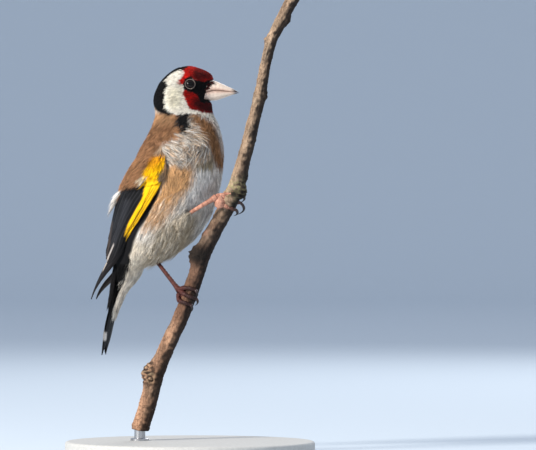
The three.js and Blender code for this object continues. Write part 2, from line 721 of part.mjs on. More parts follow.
/** The branch's frame at a height: middle, direction, left and near directions, and radius. */
function branchFrame(z) {
  const middle = branchPoint(branchMiddle.x(z), z);
  const ahead = branchPoint(branchMiddle.x(z + 0.5), z + 0.5);
  const behind = branchPoint(branchMiddle.x(z - 0.5), z - 0.5);
  const along = ahead.sub(behind).normalize();
  const near = new THREE.Vector3(0, -1, 0).addScaledVector(along, along.y).normalize();
  const left = near.clone().cross(along).normalize();
  if (left.x > 0) left.negate();
  return { middle, along, near, left, radius: branchMiddle.r(z) };
}

function barkRise(z, angle) {
  let rise = 0;
  for (const knot of KNOTS) {
    let apart = angle / DEGREE - knot.angle;
    apart = ((apart + 540) % 360) - 180;
    rise += knot.rise * Math.exp(-(((z - knot.z) / knot.along) ** 2) - (apart / knot.around) ** 2);
  }
  return rise;
}

/** A point around the branch: height, angle from its left over its near side, and clearance. */
function aroundBranch(z, angle, clear) {
  const frame = branchFrame(z);
  return frame.middle.clone()
    .addScaledVector(frame.left, (frame.radius + clear) * Math.cos(angle))
    .addScaledVector(frame.near, (frame.radius + clear) * Math.sin(angle));
}

function branchGeometry() {
  const rings = [];
  const top = BRANCH[0].z;
  const bottom = BRANCH[BRANCH.length - 1].z;
  for (let i = 0; i <= BRANCH_RINGS; i += 1) {
    const z = mix(bottom, top, i / BRANCH_RINGS);
    rings.push(Array.from({ length: BRANCH_SIDES }, (_, j) => {
      const angle = (2 * Math.PI * j) / BRANCH_SIDES;
      return aroundBranch(z, angle, barkRise(z, angle));
    }));
  }
  return loft(rings);
}

// Legs: feathered thigh, bare shank, foot with four toes round the branch, and claws
function vector(place) {
  return new THREE.Vector3(place.x, place.y, place.z);
}

function padPlace(foot) {
  return aroundBranch(foot.padZ, foot.padAngle * DEGREE, GAP + TOE.radius + 0.25);
}

function thighGeometry(foot) {
  const hip = vector(foot.hip);
  const ankle = vector(foot.ankle);
  const along = ankle.clone().sub(hip);
  const knee = hip.clone().addScaledVector(along, 0.5);
  const radii = [0, 0.25, 0.5, 0.75, 1].map((t) => mix(THIGH.hipRadius, THIGH.ankleRadius, t ** 0.8));
  const thigh = solid(bar([hip, knee, ankle], radii, 10));
  const levels = heights(TORSO_BOTTOM + GAP / 2, NECK_BOTTOM, BODY_RING_STEP);
  return geometryOf(thigh.subtract(solid(bodyStretch(levels, BODY_SIDES, GAP))));
}

function shankGeometry(foot) {
  const ankle = vector(foot.ankle);
  const pad = padPlace(foot);
  const along = pad.clone().sub(ankle).normalize();
  const top = ankle.clone().addScaledVector(along, GAP + THIGH.ankleRadius);
  const bottom = pad.clone().addScaledVector(along, -(GAP + 1.15));
  const middle = top.clone().lerp(bottom, 0.5);
  const radii = [SHANK.top, SHANK.middle, SHANK.middle, SHANK.middle, SHANK.bottom];
  return bar([top, middle, bottom], radii, 8);
}

function toePath(foot, toe, from, to) {
  return Array.from({ length: TOE.steps + 1 }, (_, i) => {
    const t = i / TOE.steps;
    const angle = (foot.padAngle + mix(from, to, t)) * DEGREE;
    const z = foot.padZ + mix(toe.start, toe.end, t);
    return aroundBranch(z, angle, GAP + 0.05 + mix(TOE.radius, TOE.end, t) * 1.06);
  });
}

function footGeometry(foot) {
  const pad = padPlace(foot);
  const pieces = [new THREE.SphereGeometry(1.15, 8, 6).translate(pad.x, pad.y, pad.z)];
  for (const toe of TOES) {
    const radii = Array.from({ length: TOE.steps + 1 }, (_, i) => {
      const joint = 1 + 0.07 * Math.cos((2 * Math.PI * 3 * i) / TOE.steps);
      return mix(TOE.radius, TOE.end, i / TOE.steps) * joint;
    });
    pieces.push(bar(toePath(foot, toe, toe.from, toe.to), radii, TOE.sides));
  }
  return geometryOf(fuse(pieces).subtract(solid(branchSleeve(foot.padZ))));
}

/** The branch near a foot, grown by the gap. */
function branchSleeve(z) {
  const rings = [];
  for (let i = 0; i <= 12; i += 1) {
    const at = z - 9 + 1.5 * i;
    rings.push(Array.from({ length: BRANCH_SIDES }, (_, j) => {
      const angle = (2 * Math.PI * j) / BRANCH_SIDES;
      return aroundBranch(at, angle, barkRise(at, angle) + GAP);
    }));
  }
  return loft(rings);
}

function clawGeometry(foot, toe) {
  const way = Math.sign(toe.claw);
  const first = toe.to + way * 8;
  const points = [];
  const radii = [];
  for (let i = 0; i <= CLAW.steps; i += 1) {
    const t = i / CLAW.steps;
    const radius = mix(CLAW.root, CLAW.tip, t ** 0.8);
    const angle = (foot.padAngle + mix(first, first + toe.claw, t)) * DEGREE;
    const bow = toe.bow * Math.sin(Math.PI * Math.min(1, t * 0.92 + 0.06)) * 0.75;
    const z = foot.padZ + toe.end + (toe.end - toe.start) * 0.16 * t - CLAW.droop * t * t;
    points.push(aroundBranch(z, angle, CLAW.clear + GAP + radius + bow));
    radii.push(radius);
  }
  return bar(points, radii, CLAW.sides);
}

// Stand: a round base and a short rod under the branch's lower end
function baseGeometry() {
  const { radius, height, chamfer } = BASE;
  const profile = [
    new THREE.Vector2(0, 0),
    new THREE.Vector2(radius - 0.4, 0),
    new THREE.Vector2(radius, 0.4),
    new THREE.Vector2(radius, height - chamfer),
    new THREE.Vector2(radius - chamfer, height),
    new THREE.Vector2(0, height),
  ];
  return new THREE.LatheGeometry(profile, BASE.sides).rotateX(Math.PI / 2);
}

function rodGeometry() {
  const foot = BRANCH[BRANCH.length - 1];
  const place = branchPoint(foot.x, foot.z);
  const low = BASE.height + GAP;
  const high = foot.z - GAP - ROD.radius * 0.35;
  const rod = new THREE.CylinderGeometry(ROD.radius, ROD.radius, high - low, ROD.sides);
  return rod.rotateX(Math.PI / 2).translate(place.x, place.y, (low + high) / 2);
}

const goldfinch = new THREE.Group();
goldfinch.add(colouredMesh('head', headGeometry(), COLOURS.face));
goldfinch.add(colouredMesh('bill_upper', billUpperGeometry(), COLOURS.bill, 0.45));
goldfinch.add(colouredMesh('bill_lower', billLoft(false, 0), COLOURS.bill, 0.45));
goldfinch.add(colouredMesh('eye_right', eyeGeometry(1), COLOURS.eye, 0.05));
goldfinch.add(colouredMesh('eye_left', eyeGeometry(-1), COLOURS.eye, 0.05));

const neckLevels = heights(NECK_BOTTOM + GAP / 2, NECK_TOP - GAP / 2, BODY_RING_STEP);
goldfinch.add(colouredMesh('neck', bodyStretch(neckLevels, BODY_SIDES), COLOURS.neck));
const torsoLevels = heights(TORSO_BOTTOM + GAP / 2, NECK_BOTTOM - GAP / 2, BODY_RING_STEP);
goldfinch.add(colouredMesh('torso', bodyStretch(torsoLevels, BODY_SIDES), COLOURS.torso));
goldfinch.add(colouredMesh('wing_right', wingGeometry(1), COLOURS.wing));
goldfinch.add(colouredMesh('wing_left', wingGeometry(-1), COLOURS.wing));
goldfinch.add(colouredMesh('tail', tailGeometry(), COLOURS.tail));

for (const [side, foot] of Object.entries(FEET)) {
  goldfinch.add(colouredMesh(`thigh_${side}`, thighGeometry(foot), COLOURS.torso));
  goldfinch.add(colouredMesh(`shank_${side}`, shankGeometry(foot), COLOURS.leg, 0.6));
  goldfinch.add(colouredMesh(`foot_${side}`, footGeometry(foot), COLOURS.leg, 0.6));
  for (const toe of TOES) {
    goldfinch.add(colouredMesh(`claw_${side}_${toe.name}`, clawGeometry(foot, toe), COLOURS.claw, 0.4));
  }
}

goldfinch.add(colouredMesh('perch', branchGeometry(), COLOURS.bark, 0.9));
goldfinch.add(colouredMesh('stand_base', baseGeometry(), COLOURS.base, 0.6));
goldfinch.add(colouredMesh('stand_rod', rodGeometry(), COLOURS.rod, 0.35, 0.8));

export default goldfinch;
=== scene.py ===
"""A life-size european goldfinch on a cut length of branch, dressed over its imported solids.

Sizes are in millimetres and turned to metres where a mesh is made. Colours are placed on the side
of the bird that faces the camera, in the picture's pixels, and mirrored to its far side.
"""
import logging
import math
from dataclasses import dataclass, field
from enum import Enum
from typing import Callable, Iterable

import bmesh
import bpy
import numpy as np
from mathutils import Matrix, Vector
from mathutils.bvhtree import BVHTree


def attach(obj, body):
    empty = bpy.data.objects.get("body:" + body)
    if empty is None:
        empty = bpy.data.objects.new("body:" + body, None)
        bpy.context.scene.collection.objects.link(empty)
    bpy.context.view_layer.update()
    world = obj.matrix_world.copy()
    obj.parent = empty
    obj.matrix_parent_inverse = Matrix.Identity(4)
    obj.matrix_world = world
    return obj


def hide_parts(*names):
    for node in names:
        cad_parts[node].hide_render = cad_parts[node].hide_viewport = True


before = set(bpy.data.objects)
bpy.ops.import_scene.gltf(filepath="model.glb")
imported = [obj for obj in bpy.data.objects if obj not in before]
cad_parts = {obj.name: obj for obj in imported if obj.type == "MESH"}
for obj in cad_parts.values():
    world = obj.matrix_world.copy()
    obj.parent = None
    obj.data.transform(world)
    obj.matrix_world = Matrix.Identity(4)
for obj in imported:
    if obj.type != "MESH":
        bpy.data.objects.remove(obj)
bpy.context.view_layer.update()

LOG = logging.getLogger("goldfinch")

Array = np.ndarray
Sheet = Callable[[Array, Array, Array], Array]
Place = Callable[[Array, Array], Array]
Pair = tuple[float, float]
Triple = tuple[float, float, float]
Thing = bpy.types.Object
Material = bpy.types.Material
Socket = bpy.types.NodeSocket

MM = 0.001
TURN = 2 * math.pi
STEPS = (0.0, 0.5, 1.0)
PICTURE_SCALE = 0.4
PICTURE_ORIGIN = (190.0, 456.0)


# Curves and level sections of the bird


def smooth_step(low: float | Array, high: float | Array, value: Array) -> Array:
    """A smooth rise from 0 at low to 1 at high."""
    share = np.clip((value - low) / (high - low), 0.0, 1.0)
    return share * share * (3.0 - 2.0 * share)


def mix(first: float | Array, second: float | Array, share: float | Array) -> Array:
    """The value a share of the way from first to second."""
    return first + (second - first) * share


def unit(vectors: Array) -> Array:
    """The vectors at length one."""
    return vectors / np.maximum(np.linalg.norm(vectors, axis=-1, keepdims=True), 1e-12)


def to_picture(x: Array, z: Array) -> tuple[Array, Array]:
    """The picture's pixel where a point at x and z shows."""
    return PICTURE_ORIGIN[0] + x / PICTURE_SCALE, PICTURE_ORIGIN[1] - z / PICTURE_SCALE


@dataclass(frozen=True)
class SmoothCurve:
    """A smooth function through pairs of place and value."""

    pairs: tuple[Pair, ...]

    def __call__(self, where: Array) -> Array:
        """The curve's value, held level past its ends.

        Args:
            where: Places to read.

        Returns:
            The values.
        """
        table = np.array(sorted(self.pairs))
        places = table[:, 0]
        values = table[:, 1]
        last = len(places) - 1
        before = np.maximum(np.arange(last + 1) - 1, 0)
        after = np.minimum(np.arange(last + 1) + 1, last)
        slopes = (values[after] - values[before]) / (places[after] - places[before])
        at = np.clip(np.asarray(where, float), places[0], places[-1])
        low = np.clip(np.searchsorted(places, at) - 1, 0, last - 1)
        span = places[low + 1] - places[low]
        t = (at - places[low]) / span
        rise = 3 * t**2 - 2 * t**3
        bend_out = (t**3 - 2 * t**2 + t) * span * slopes[low]
        bend_in = (t**3 - t**2) * span * slopes[low + 1]
        return (1 - rise) * values[low] + bend_out + rise * values[low + 1] + bend_in


@dataclass(frozen=True)
class Outline:
    """The bird's back, front and side at each height."""

    back: SmoothCurve
    front: SmoothCurve
    side: SmoothCurve

    @classmethod
    def of(cls, stations: Iterable[tuple[float, float, float, float]]) -> "Outline":
        """An outline from stations of height, back, front and side."""
        rows = list(stations)
        return cls(*(SmoothCurve(tuple((row[0], row[k]) for row in rows)) for k in (1, 2, 3)))


BODY_STATIONS = (
    (156.3, -1.2, 0.4, 0.8), (155.4, -5.0, 3.8, 3.7), (153.4, -8.2, 8.2, 6.1),
    (150.4, -11.6, 10.2, 7.7), (146.4, -13.8, 9.2, 8.5), (142.4, -15.0, 9.2, 8.9),
    (137.0, -14.3, 9.8, 10.2), (132.4, -15.2, 11.8, 12.4), (127.6, -17.9, 13.3, 14.9),
    (122.1, -21.1, 14.0, 17.1), (116.5, -23.4, 13.8, 18.4), (106.2, -27.4, 12.4, 19.0),
    (96.0, -28.8, 9.0, 17.2), (89.6, -29.7, 5.0, 14.9), (84.5, -30.3, 0.3, 12.4),
    (78.2, -31.2, -10.0, 8.6), (75.4, -31.6, -17.9, 6.9), (71.5, -32.3, -20.0, 5.4),
    (65.0, -33.0, -24.2, 4.0),
)
WING_BED = (
    (100.0, -29.4, 10.6, 18.2), (89.6, -31.9, 3.5, 13.8), (77.6, -35.4, -13.0, 8.8),
    (70.0, -38.5, -19.5, 6.4), (63.6, -40.8, -24.5, 5.0), (55.0, -43.4, -29.0, 3.6),
)


@dataclass(frozen=True)
class BodyShape:
    """The bird's surface as level sections, turned from the head down to the body."""

    body_yaw: float = math.radians(30)
    body_yaw_full: float = 126.0
    head_yaw_full: float = 141.0
    head_middle_y: float = 1.2
    body_middle_x: float = -7.3
    body_middle_y: float = 4.0
    head_taper: float = 0.3
    fold_angle: float = math.radians(-17)
    body: Outline = field(default_factory=lambda: Outline.of(BODY_STATIONS))
    bed: Outline = field(default_factory=lambda: Outline.of(
        tuple(row for row in BODY_STATIONS if row[0] > 101) + WING_BED))

    def turned(self, z: Array) -> Array:
        """How far the section at a height is turned to the body's yaw, from 0 to 1."""
        return 1.0 - smooth_step(self.body_yaw_full, self.head_yaw_full, np.asarray(z, float))

    def section(self, z: Array, outline: Outline) -> tuple[Array, ...]:
        """The level section's middle x and y, depth, side, yaw and taper.

        Args:
            z: Heights in millimetres.
            outline: The outline to read.

        Returns:
            The six values at each height.
        """
        turned = self.turned(z)
        yaw = self.body_yaw * turned
        side = np.maximum(0.05, outline.side(z))
        half_seen = (outline.front(z) - outline.back(z)) / 2
        x = (outline.front(z) + outline.back(z)) / 2
        depth = np.sqrt(np.maximum(0.01, half_seen**2 - (side * np.sin(yaw)) ** 2)) / np.cos(yaw)
        body_y = self.body_middle_y - (x - self.body_middle_x) * math.tan(self.body_yaw)
        y = mix(self.head_middle_y, body_y, turned)
        return x, y, depth, side, yaw, self.head_taper * (1 - turned)

    def point(self, z: Array, angle: Array, outline: Outline, grow: float | Array = 0.0) -> Array:
        """A point of the surface: the angle runs from the front over the right side.

        Args:
            z: Heights in millimetres.
            angle: Angles round the shape.
            outline: The outline to read.
            grow: How far out of the surface.

        Returns:
            Points in millimetres.
        """
        z, angle = np.broadcast_arrays(np.asarray(z, float), np.asarray(angle, float))
        x, y, depth, side, yaw, taper = self.section(z, outline)
        forward = (depth + grow) * np.cos(angle)
        right = (side + grow) * np.sin(angle) * (1 - taper * ((1 + np.cos(angle)) / 2) ** 2)
        return np.stack([
            x + forward * np.cos(yaw) - right * np.sin(yaw),
            y - forward * np.sin(yaw) - right * np.cos(yaw),
            z,
        ], axis=-1)

    def angle_of(self, points: Array) -> Array:
        """The angle round the body of points near its surface.

        Args:
            points: Points in millimetres.

        Returns:
            The angles.
        """
        x, y, depth, side, yaw, _ = self.section(points[..., 2], self.body)
        dx = points[..., 0] - x
        dy = points[..., 1] - y
        forward = dx * np.cos(yaw) - dy * np.sin(yaw)
        right = -dx * np.sin(yaw) - dy * np.cos(yaw)
        return np.arctan2(right / side, forward / depth)

    def seen(self, z: Array, angle: Array) -> tuple[Array, Array]:
        """The pixel where a surface point shows, a far point by its mirror on the near side.

        Args:
            z: Heights in millimetres.
            angle: Angles round the shape.

        Returns:
            Columns and rows in the picture.
        """
        fold = self.fold_angle * self.turned(z)
        near = fold + np.abs(angle - fold)
        return to_picture(self.point(z, near, self.body)[..., 0], z)


SHAPE = BodyShape()


# Colours


def linear(red: float, green: float, blue: float) -> Array:
    """A linear colour from display values of 0 to 255."""
    value = np.array([red, green, blue]) / 255
    return np.where(value <= 0.04045, value / 12.92, ((value + 0.055) / 1.055) ** 2.4)


@dataclass(frozen=True)
class Patch:
    """One marking: its corners in the picture, its colour and how soft its edge is."""

    corners: tuple[Pair, ...]
    colour: Triple
    soft: float = 1.0
    strength: float = 1.0

    def share(self, px: Array, py: Array) -> Array:
        """How much of the patch's colour shows at pixels, from 0 to 1.

        Args:
            px: Columns in the picture.
            py: Rows in the picture.

        Returns:
            The shares.
        """
        corners = np.array(self.corners)
        ends = np.roll(corners, -1, axis=0)
        inside = np.zeros(px.shape, bool)
        nearest = np.full(px.shape, 1e9)
        for (ax, ay), (bx, by) in zip(corners, ends):
            crosses = (ay > py) != (by > py)
            slope = (bx - ax) / (by - ay) if by != ay else 0.0
            inside ^= crosses & (px < ax + (py - ay) * slope)
            along = ((px - ax) * (bx - ax) + (py - ay) * (by - ay)) / ((bx - ax) ** 2 + (by - ay) ** 2)
            along = np.clip(along, 0, 1)
            away = np.hypot(px - ax - along * (bx - ax), py - ay - along * (by - ay))
            nearest = np.minimum(nearest, away)
        signed = np.where(inside, nearest, -nearest)
        return self.strength * smooth_step(-self.soft, self.soft, signed)


BODY_PATCHES = {
    "mantle": Patch((
        (140, 112), (168, 113.5), (176, 115), (179.5, 114.6), (178, 123), (177.6, 130.5), (175.7, 140.7),
        (166, 143), (158.5, 146), (152.8, 157), (148.3, 167), (143.8, 178), (141, 186), (127, 188),
        (118, 205), (112, 226), (60, 226), (60, 105)
    ), (147, 107, 76), 1.4),
    "streaks": Patch((
        (188, 112), (197, 117), (200, 132.4), (208.9, 141), (213, 150), (213, 160), (195, 163), (165, 165),
        (158, 152), (158.5, 145), (175.7, 140.7), (177.6, 130.5), (181, 133), (187, 126)
    ), (206, 199, 190), 2.0),
    "breast": Patch((
        (192, 112.2), (203.8, 114.2), (214.6, 121.6), (218.4, 131.8), (222.3, 140.7), (223.5, 149.6),
        (227, 162.4), (227, 168), (219.7, 166), (216.5, 160), (213.3, 150), (208.9, 141.5), (200, 133),
        (196.1, 122)
    ), (144, 104, 70), 3.0),
    "breast_edge": Patch((
        (204, 148), (213, 148), (217, 160), (214, 170), (196, 166)
    ), (158, 142, 114), 3.0),
    "flank": Patch((
        (163, 163), (192.9, 161.4), (197, 168.8), (193.3, 184.7), (185.6, 195.3), (173, 210), (164, 222),
        (150, 227), (140, 229), (144, 214), (158, 188), (162, 175)
    ), (206, 160, 112), 5.5),
    # The lower belly: partly its buff colour and partly painted shade under the body.
    "vent_buff_and_shade": Patch((
        (157, 226), (176, 214), (204, 208), (196, 240), (174, 264), (148, 264)
    ), (174, 158, 134), 7.0),
    "spot": Patch((
        (180.2, 112.2), (192.5, 112.0), (192.2, 118.3), (189.6, 126), (184.5, 133.4), (177.2, 135.4),
        (177.0, 126), (178.0, 118.9)
    ), (22, 21, 22), 0.8),
    "tail_side": Patch((
        (127, 256), (129, 264), (119.4, 289.6), (112, 313), (95, 313), (95, 256)
    ), (14, 13, 14), 0.8),
}
HEAD_PATCHES = {
    "cheek": Patch((
        (172, 69.5), (184.9, 69.5), (186, 80), (185, 88), (184.9, 94.9), (186.3, 99.1), (189.1, 105.4),
        (193.3, 109.6), (201.1, 110.4), (209, 112.6), (215.5, 114.5), (216, 119), (208, 117),
        (200.5, 114.2), (189.1, 113.6), (175.1, 114.6), (168.1, 112.2), (163.4, 108), (163, 99.1),
        (163.6, 92.1), (166, 85.1), (163.6, 80.9), (166, 76.5)
    ), (238, 232, 219), 0.3),
    "cheek_low": Patch((
        (168, 88), (182, 88), (183, 106), (174, 110), (167, 104)
    ), (208, 200, 172), 5.0, 0.6),
    "crown": Patch((
        (193, 55), (189.1, 68.0), (182.8, 71.0), (177.9, 70.6), (170.9, 74.2), (166.7, 77.6), (164.6, 80.9),
        (167.4, 85.1), (164.8, 92.1), (164.1, 99.1), (164.3, 107.5), (168.4, 111.4), (174.5, 113.8),
        (168.1, 115.6), (163.2, 114.0), (156.8, 111.0), (152, 104), (140, 97), (140, 55)
    ), (13, 12, 13), 0.3),
    "red_top": Patch((
        (182.3, 70.6), (187.5, 67.6), (191, 55), (222, 60), (222, 82), (213, 80.5), (207.4, 82.6),
        (200.4, 81.4), (194.7, 80.0), (190.5, 78.2), (184.9, 80.2), (182.6, 85.4), (178.2, 83.9),
        (181.4, 78.1), (184.6, 73.2)
    ), (192, 20, 7), 0.3),
    "red_low": Patch((
        (184.2, 90.0), (189.1, 91.1), (196.1, 92.5), (201.1, 94.6), (203.9, 98.1), (205, 102), (218, 102),
        (217, 113.6), (206.7, 112.8), (201.1, 110.6), (193.3, 109.8), (189.1, 105.4), (186.1, 99.1),
        (184.2, 94.9)
    ), (166, 14, 8), 0.3),
    "lores": Patch((
        (193.3, 80.2), (207.4, 81.9), (216, 79.2), (216, 92), (216, 102.4), (207.4, 103.6), (203.6, 101.9),
        (201.1, 95.6), (195.2, 92.3), (189.6, 92.2), (184.6, 89.6), (182.5, 84.6), (184.9, 79.2),
        (190.3, 77.0), (195.2, 78.4)
    ), (9, 8, 9), 0.3),
}
RED_PATCHES = {
    "red_top": Patch((
        (194, 71), (205, 69.5), (212.5, 74.5), (214, 80), (203, 82), (193, 79)
    ), (86, 5, 5), 4.0),
    "red_low": Patch((
        (197, 96), (204, 100), (218, 102), (217, 114), (203, 112), (195, 106)
    ), (70, 4, 5), 4.5),
}
WING_PATCHES = {
    "yellow": Patch((
        (148.5, 166), (157, 156), (168, 155), (166, 164), (161.9, 174), (158.8, 181.4), (162.8, 185.2),
        (159.6, 192.2), (129.6, 235.6), (125.4, 239.6), (124.2, 233.6), (128.7, 222.2), (143.4, 197.3),
        (145.4, 186), (144.0, 184), (145.9, 172.4)
    ), (250, 190, 8), 0.6),
    "fore_edge": Patch((
        (166.4, 157), (174, 155), (174, 186), (163.4, 186), (159.6, 181.4), (162.8, 174), (166.6, 164)
    ), (186, 146, 104), 0.8),
    "orange": Patch(((149, 150), (170, 148), (164, 162), (153, 168), (147, 166)), (212, 136, 30), 4.0, 0.7),
    "first_edge": Patch((
        (112.2, 244.5), (113.2, 246), (107.0, 259.6), (106.0, 258.6)
    ), (190, 180, 172), 0.4, 0.7),
    "second_edge": Patch((
        (106.4, 257.8), (107.2, 259.8), (101.2, 271.0), (100.2, 270)
    ), (190, 178, 166), 0.45, 0.8),
    "rear_edge": Patch((
        (112, 221), (113.6, 222), (109.4, 244), (104.8, 262), (103.8, 262), (107.8, 243)
    ), (80, 68, 60), 0.7, 0.5),
    # Painted sheen: a grey gleam laid down the black panel of the folded wing.
    "painted_sheen_panel": Patch((
        (124, 200), (132, 200), (124, 222), (114, 246), (109.5, 246), (116, 222)
    ), (48, 48, 52), 2.2, 0.5),
    "alula": Patch((
        (159, 173.5), (165.4, 170.5), (167.5, 178), (162.5, 184.6), (160.6, 181)
    ), (98, 84, 70), 1.2, 0.85),
}
TAIL_PATCHES = (
    Patch((
        (119.4, 298), (123, 298), (114, 327), (107, 348), (105.6, 348), (110.8, 326)
    ), (160, 157, 152), 0.5, 0.8),
    Patch(((106.4, 272), (110.4, 272), (109.4, 290), (106.0, 290)), (214, 208, 202), 0.5),
    Patch(((99.4, 332.5), (104.2, 332.5), (103.4, 340.5), (99.4, 341.5)), (226, 220, 212), 0.4),
)
YELLOW_EDGE = SmoothCurve(((170, 168), (184.5, 162.5), (199.2, 154.2), (224.7, 138.3), (240, 125.5)))
WING_COVER = Patch((
    (150, 158), (158, 157), (160, 163), (161, 171), (161, 178), (160.4, 186), (159.8, 191), (158.0, 197),
    (148.4, 215.5), (138.0, 229), (132.4, 243), (130.4, 252), (127, 258), (124, 268), (95, 268), (95, 187),
    (127, 187), (141, 183), (146, 170)
), (0, 0, 0), 0.2)
WING_BLACK = Patch(WING_COVER.corners, (0, 0, 0), 3.0)
THIGH = Patch(((174, 192), (188, 186), (194, 198), (194, 212), (186, 222), (172, 218)), (0, 0, 0), 1.0)
RUFF = Patch((
    (175.5, 133), (181, 131), (190, 128), (199, 131), (205, 138), (209, 147), (206, 158), (196, 163),
    (170, 162), (160, 158), (156.5, 146), (163, 142), (172, 141)
), (0, 0, 0), 1.0)
SCAPULAR = Patch((
    (138.6, 181.0), (145.6, 175.5), (148.6, 177.0), (148.0, 183.0), (142.4, 185.0)
), (214, 198, 172), 0.8, 0.9)
BELLY_COLOUR = (224, 220, 215)
VENT_COLOUR = (228, 216, 198)
UNDERTAIL_COLOUR = (214, 206, 194)
NAPE_COLOUR = (186, 146, 108)
RUMP_COLOUR = (222, 216, 208)
WING_COLOUR = (12, 11, 13)


def tinge(base: Array, colour: Triple, share: Array) -> Array:
    """The colours with a display colour laid over them by a share at each point."""
    return mix(base, linear(*colour), share[..., None])


def paint(base: Array, patch: Patch, px: Array, py: Array) -> Array:
    """The colours with one marking laid over them."""
    return tinge(base, patch.colour, patch.share(px, py))


def plain(colour: Triple, like: Array) -> Array:
    """One display colour at each point of an array."""
    return np.ones(np.shape(like) + (1,)) * linear(*colour)


def body_colour(z: Array, angle: Array) -> Array:
    """The plumage's colour at points of the body and head.

    Args:
        z: Heights.
        angle: Angles round the body.

    Returns:
        Linear colours.
    """
    px, py = SHAPE.seen(z, angle)
    base = plain(BELLY_COLOUR, px)
    base = tinge(base, VENT_COLOUR, smooth_step(228, 246, py))
    base = tinge(base, UNDERTAIL_COLOUR, smooth_step(262, 278, py))
    for name in ("vent_buff_and_shade", "flank", "breast_edge", "mantle", "streaks", "breast", "spot"):
        base = paint(base, BODY_PATCHES[name], px, py)
    nape = (1 - smooth_step(118, 128, py)) * (1 - smooth_step(170, 178, px))
    base = tinge(base, NAPE_COLOUR, 0.6 * nape)
    rump = smooth_step(math.radians(140), math.radians(152), np.abs(angle)) * smooth_step(198, 208, py)
    base = tinge(base, RUMP_COLOUR, rump)
    base = paint(base, BODY_PATCHES["tail_side"], px, py)
    return head_colour(base, px, py)


def head_colour(base: Array, px: Array, py: Array) -> Array:
    """The colours with the head's markings laid over them, each red darker in its middle.

    Args:
        base: Linear colours.
        px: Columns in the picture.
        py: Rows in the picture.

    Returns:
        Linear colours.
    """
    for name in ("cheek", "cheek_low", "crown", "red_low", "red_top", "lores"):
        patch = HEAD_PATCHES[name]
        if name in RED_PATCHES:
            red = paint(plain(patch.colour, px), RED_PATCHES[name], px, py)
            base = mix(base, red, patch.share(px, py)[..., None])
        elif name == "cheek_low":
            white = HEAD_PATCHES["cheek"].share(px, py)
            base = tinge(base, patch.colour, white * patch.share(px, py))
        else:
            base = paint(base, patch, px, py)
    return base


def wing_colour(px: Array, py: Array) -> Array:
    """The colour of the wing's vanes at pixels of the near wing.

    Args:
        px: Columns in the picture.
        py: Rows in the picture.

    Returns:
        Linear colours.
    """
    base = tinge(plain(WING_COLOUR, px), (30, 25, 25), 0.6 * smooth_step(244, 262, py))
    for name in ("painted_sheen_panel", "fore_edge", "yellow"):
        base = paint(base, WING_PATCHES[name], px, py)
    yellow = WING_PATCHES["yellow"].share(px, py) * smooth_step(186, 190, py)
    inside = YELLOW_EDGE(py) - px
    lines = sum(np.exp(-(((inside - at) / 0.5) ** 2)) for at in (2.3, 4.7, 7.1))
    base = tinge(base, (104, 60, 4), 0.85 * yellow * np.minimum(lines, 1))
    for name in ("orange", "alula", "rear_edge", "first_edge", "second_edge"):
        base = paint(base, WING_PATCHES[name], px, py)
    return base


def shoulder_colour(px: Array, py: Array) -> Array:
    """The colour of the soft feathers over the wing's shoulder.

    Args:
        px: Columns in the picture.
        py: Rows in the picture.

    Returns:
        Linear colours.
    """
    base = tinge(wing_colour(px, py), (176, 150, 124), 1 - smooth_step(152, 158, py))
    base = paint(base, BODY_PATCHES["mantle"], px, py)
    return paint(base, SCAPULAR, px, py)


# Meshes from arrays


@dataclass
class Feathering:
    """Many small faces gathered into one mesh, with a colour and a bake place at each point."""

    points: list[Array] = field(default_factory=list)
    faces: dict[int, list[Array]] = field(default_factory=lambda: {3: [], 4: []})
    tints: list[Array] = field(default_factory=list)
    places: list[Array] = field(default_factory=list)
    grains: list[Array] = field(default_factory=list)
    count: int = 0

    def add(self, points: Array, faces: Iterable[Array], tints: Array, places: Array,
            grains: Array | None = None) -> None:
        """Adds points in millimetres with their faces, colours, bake places and grain places.

        Args:
            points: Points in millimetres.
            faces: Blocks of point numbers.
            tints: Linear colours.
            places: Places on the bake map.
            grains: Places along the web.
        """
        for block in faces:
            self.faces[block.shape[-1]].append(block.reshape(-1, block.shape[-1]) + self.count)
        self.points.append(points.reshape(-1, 3))
        self.tints.append(tints.reshape(-1, 3))
        self.places.append(places.reshape(-1, 2))
        if grains is not None:
            self.grains.append(grains.reshape(-1, 2))
        self.count += len(self.points[-1])

    def build(self, name: str) -> Thing:
        """The gathered faces as one object.

        Args:
            name: The new name.

        Returns:
            The object.
        """
        mesh = bpy.data.meshes.new(name)
        corners = []
        sizes = []
        for sides in (3, 4):
            for block in self.faces[sides]:
                corners.append(block.reshape(-1))
                sizes.append(np.full(len(block), sides))
        corner = np.concatenate(corners).astype(np.int32)
        size = np.concatenate(sizes)
        starts = np.concatenate([[0], np.cumsum(size)[:-1]]).astype(np.int32)
        mesh.vertices.add(self.count)
        mesh.vertices.foreach_set("co", (np.concatenate(self.points) * MM).astype(np.float32).ravel())
        mesh.loops.add(len(corner))
        mesh.loops.foreach_set("vertex_index", corner)
        mesh.polygons.add(len(size))
        mesh.polygons.foreach_set("loop_start", starts)
        mesh.polygons.foreach_set("use_smooth", np.ones(len(size), bool))
        mesh.update(calc_edges=True)
        store_map(mesh, "OFBake", np.concatenate(self.places))
        if self.grains:
            store_map(mesh, "Grain", np.concatenate(self.grains))
        mesh.uv_layers["OFBake"].active_render = True
        store_tint(mesh, np.concatenate(self.tints))
        return link(name, mesh)


def store_map(mesh: bpy.types.Mesh, name: str, places: Array) -> None:
    """Keeps a UV map on a mesh, with one place for each point.

    Args:
        mesh: The mesh.
        name: The new name.
        places: Places on the map.
    """
    corner = np.zeros(len(mesh.loops), np.int32)
    mesh.loops.foreach_get("vertex_index", corner)
    layer = mesh.uv_layers.new(name=name)
    layer.data.foreach_set("uv", places[corner].astype(np.float32).ravel())


